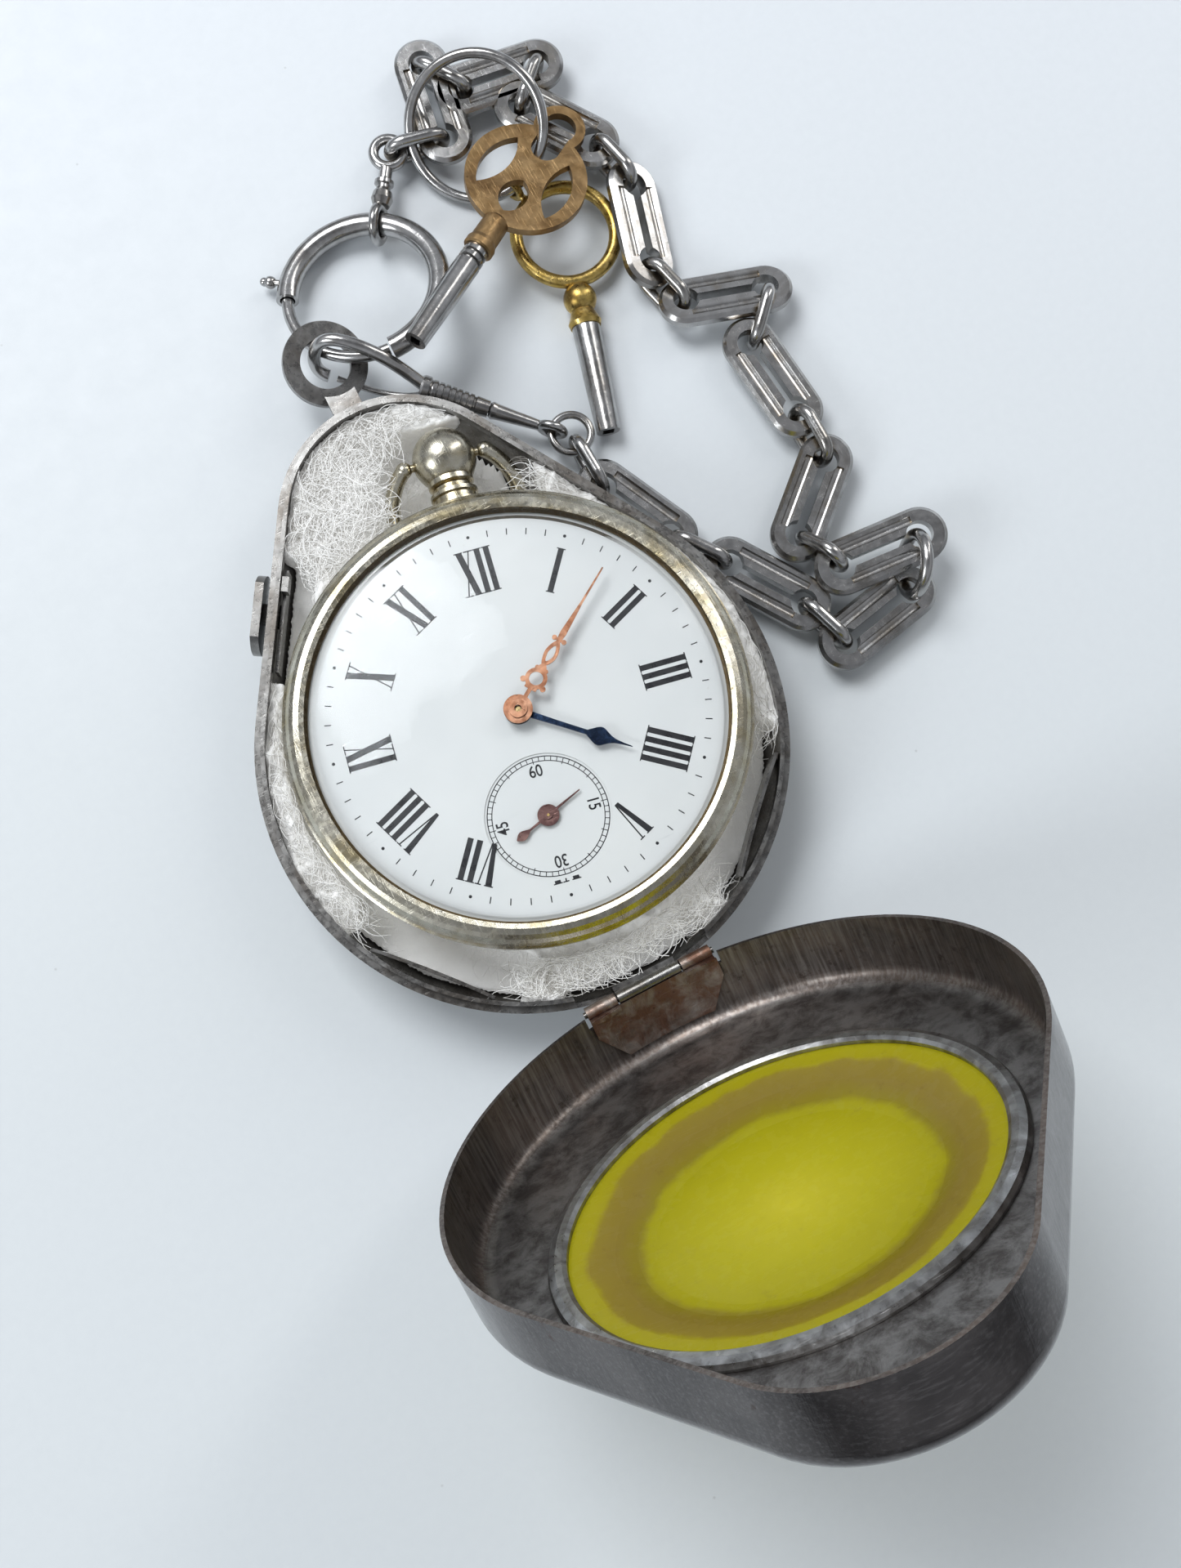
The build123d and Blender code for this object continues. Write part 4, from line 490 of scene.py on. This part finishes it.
# ------------------------------------------------------------ cotton wool: the lining's own shape, remeshed, puffed and covered in loose fibres
rnd = random.Random(7)
src = N["cotton_lining"]
me = src.data.copy()
pad = bpy.data.objects.new("cotton_wool_pad", me)
sc.collection.objects.link(pad)
rm = pad.modifiers.new("remesh", "REMESH")
rm.mode, rm.voxel_size = "VOXEL", 0.00034
dg = bpy.context.evaluated_depsgraph_get()
bpy.context.view_layer.update()
me2 = bpy.data.meshes.new_from_object(pad.evaluated_get(bpy.context.evaluated_depsgraph_get()))
pad.modifiers.clear()
pad.data = me2
me2.name = "cotton_wool_pad"
nv = [v.normal.copy() for v in me2.vertices]
for v, nn in zip(me2.vertices, nv):
    p = v.co * 1000
    if p.z > 1.5:
        d = noise.fractal(p * 0.35, 0.6, 2.2, 4) * 0.55 + noise.fractal(p * 1.6, 0.7, 2.1, 3) * 0.22
        up = max(0.0, nn.z)
        rr = max(0.0, min(1.0, (p.z - 1.5) / 2))
        v.co += nn * max(-0.04, min(0.25, d * 0.35)) * MM * rr
        if up > 0.3 and p.z > 6:
            v.co.z += max(-0.1, min(1.25, 0.35 + d * 1.5)) * MM * up
for p in me2.polygons:
    p.use_smooth = True
me2.materials.clear()
me2.materials.append(COT)
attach(pad, "case")
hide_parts("cotton_lining")
tops = [v for v in me2.vertices if v.co.z > 0.0058 and v.normal.z > 0.15]


def fibres(name, count, mat, rad, pick, lift):
    cu = bpy.data.curves.new(name, "CURVE")
    cu.dimensions = "3D"
    cu.bevel_depth = rad * MM
    cu.bevel_resolution = 0
    cu.resolution_u = 2
    cu.use_fill_caps = True
    made = tries = 0
    while made < count and tries < count * 40:
        tries += 1
        v = tops[rnd.randrange(len(tops))]
        if not pick(v.co * 1000):
            continue
        p = v.co.copy() + v.normal * rnd.uniform(0.0, lift) * MM
        a = rnd.uniform(0, 2 * math.pi)
        curl = rnd.uniform(-0.42, 0.42)
        L = rnd.randint(5, 9)
        st = rnd.uniform(0.35, 0.75) * MM
        pts = [p.copy()]
        el = rnd.uniform(0.0, 0.55)
        for k in range(L):
            a += curl + rnd.uniform(-0.35, 0.35)
            p = p + Vector((math.cos(a), math.sin(a), el)) * st
            el -= 0.12
            c = p * 1000
            pts.append(p.copy())
        ok = all(inside(t * 1000) for t in pts)
        if not ok:
            continue
        s = cu.splines.new("NURBS")
        s.points.add(len(pts) - 1)
        for sp_, t in zip(s.points, pts):
            sp_.co = (*t, 1)
        s.use_endpoint_u = True
        s.order_u = 3
        made += 1
    ob = bpy.data.objects.new(name, cu)
    sc.collection.objects.link(ob)
    cu.materials.append(mat)
    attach(ob, "case")
    return ob


def tear_d(p):
    """signed distance (mm) outside the case outline"""
    x, y = abs(p.x), p.y
    R, r, d = 28.0, 13.63, 27.37
    a = math.asin((R - r) / d)
    nx, ny = math.cos(a), math.sin(a)
    t = x * -ny + y * nx
    t0, t1 = 0.0, d * nx
    if t < t0:
        return math.hypot(x, y) - R
    if t > t1:
        return math.hypot(x, y - d) - r
    return x * nx + y * ny - R


WI = WL.inverted()
C_LO, C_HI = (Vector(t) * 1000 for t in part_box("catch_spring"))


def inside(p):
    if tear_d(p) > -1.15 or p.z < 2.0 or p.z > 12.2:
        return False
    if all(C_LO[i] - 0.7 < p[i] < C_HI[i] + 0.7 for i in range(2)):
        return False
    l = (WI @ (p * MM)) * 1000
    if math.hypot(l.x, l.y) < 24.5 and l.z > -8.0:
        return False
    if abs(l.x) < 3.6 and l.y > 20 and l.y < 34 and l.z > -7:
        return False
    return True


fibres("cotton_fibres_white", 3600, COT, 0.036, lambda p: True, 0.35)
fibres("cotton_fibres_dark", 420, COTD, 0.02, lambda p: tear_d(p) > -3.2 and (p.y > 12 or p.y < -8), 0.45)

# wool under the crown ball and bow, where the lining is hollowed out
bm = bmesh.new()
grid = {}
st = 0.4


def under(x, y):
    """just above the tray's rounded floor"""
    d = min(8.0, max(0.0, -tear_d(Vector((x, y, 0))) - 0.5))
    return max(1.0, 8.0 - math.sqrt(64 - (8.0 - d) ** 2) + 0.45)


for i in range(-30, 31):
    for j in range(40, 101):
        x, y = i * st, j * st
        if tear_d(Vector((x, y, 0))) < -2.3:
            z = 2.9 + noise.fractal(Vector((x * 0.3, y * 0.3, 2.0)), 0.6, 2.1, 4) * 1.1 + noise.fractal(Vector((x * 1.7, y * 1.7, 5.0)), 0.7, 2.1, 3) * 0.25
            grid[i, j] = bm.verts.new(Vector((x, y, max(1.7, z, under(x, y) + 0.6))) * MM)
for (i, j), v in list(grid.items()):
    c4 = [grid.get(k) for k in ((i, j), (i + 1, j), (i + 1, j + 1), (i, j + 1))]
    if all(c4):
        bm.faces.new(c4)
bmesh.ops.delete(bm, geom=[v for v in bm.verts if not v.link_faces], context="VERTS")
ex = bmesh.ops.extrude_face_region(bm, geom=bm.faces[:])
for v in ex["geom"]:
    if isinstance(v, bmesh.types.BMVert):
        v.co.z = under(v.co.x * 1000, v.co.y * 1000) * MM
for f in bm.faces:
    f.smooth = True
neck = piece("cotton_wool_neck", bm, COT, "case")
tops = [v for v in neck.data.vertices if v.co.z > 0.0018]


def inside(p):
    l = (WI @ (p * MM)) * 1000
    return tear_d(p) < -3.6 and 1.6 < p.z < 4.6 and not (math.hypot(l.x, l.y) < 24.3 and l.z > -7.6)


fibres("cotton_fibres_neck", 1000, COT, 0.034, lambda p: p.y > 22, 0.3)

# ------------------------------------------------------------ floor, light
bm = bmesh.new()
S = 1.6
g = 40
bmesh.ops.create_grid(bm, x_segments=g, y_segments=g, size=S)
me = bpy.data.meshes.new("floor")
bm.to_mesh(me)
bm.free()
floor = bpy.data.objects.new("floor", me)
sc.collection.objects.link(floor)
floor.location = (0, 0, -0.00002)
M = Mat("pale_table")
# painted light: the table's colour runs from darker to lighter blue-grey along a slanted direction, a painted fall of
# light across it
gr = M.n("TexGradient")
M.put(gr.inputs[0], M.map((5.2, 5.2, 5.2), (0, 0, math.radians(-63)), vec=M.co))
painted_light_ramp = M.ramp(M.math("ADD", gr.outputs["Fac"], 0.5), (0.1, 0), (1.0, 1))
c = M.mix(painted_light_ramp, (0.60, 0.635, 0.64), (0.665, 0.70, 0.735))
c = M.mix(M.ramp(M.noise(900, 4, 0.6), (0.3, 0), (0.7, 0.10)), c, (0.5, 0.53, 0.56))
c = M.mix(M.ramp(M.voro(110), (0.0, 0.55), (0.022, 0)), c, (0.32, 0.33, 0.33))
floor.data.materials.append(M.done(M.bsdf(color=c, rough=M.ramp(M.noise(300), (0.3, 0.42), (0.7, 0.55)), spec=0.3, normal=M.bump(M.noise(2200, 4, 0.6), 0.10, 0.00006))))


def area(name, loc, look, size, power, col=(1, 1, 1), size_y=None):
    d = bpy.data.lights.new(name, "AREA")
    d.energy, d.color, d.size = power, col, size
    if size_y:
        d.shape, d.size_y = "RECTANGLE", size_y
    o = bpy.data.objects.new(name, d)
    sc.collection.objects.link(o)
    o.location = loc
    o.rotation_euler = (Vector(look) - Vector(loc)).to_track_quat("-Z", "Y").to_euler()
    return o


area("top_soft", (-0.14, 0.50, 0.72), (0.02, 0.02, 0), 0.42, 5.8, (0.96, 0.98, 1.0))
area("left_soft", (-0.75, -0.05, 0.50), (0, 0.02, 0), 0.30, 2.6, (0.93, 0.97, 1.0))
area("right_strip", (0.65, 0.25, 0.45), (0.02, 0.02, 0), 0.15, 1.3, (1.0, 0.98, 0.95), 0.6)
w = bpy.data.worlds.new("studio")
sc.world = w
w.use_nodes = True
t = w.node_tree
bg = t.nodes["Background"]
tc = t.nodes.new("ShaderNodeTexCoord")
sx = t.nodes.new("ShaderNodeSeparateXYZ")
t.links.new(tc.outputs["Generated"], sx.inputs[0])
rp = t.nodes.new("ShaderNodeValToRGB")
els = rp.color_ramp.elements
els[0].position, els[0].color = 0.0, (0.30, 0.31, 0.33, 1)
els[1].position, els[1].color = 1.0, (0.26, 0.27, 0.29, 1)
e = els.new(0.5)
e.color = (0.20, 0.205, 0.22, 1)
e = els.new(0.76)
e.color = (0.80, 0.83, 0.88, 1)
e = els.new(0.93)
e.color = (0.60, 0.62, 0.66, 1)
mp = t.nodes.new("ShaderNodeMath")
mp.operation = "MULTIPLY_ADD"
mp.inputs[1].default_value, mp.inputs[2].default_value = 0.5, 0.5
t.links.new(sx.outputs[2], mp.inputs[0])
t.links.new(mp.outputs[0], rp.inputs[0])
t.links.new(rp.outputs[0], bg.inputs[0])
bg.inputs[1].default_value = 0.62
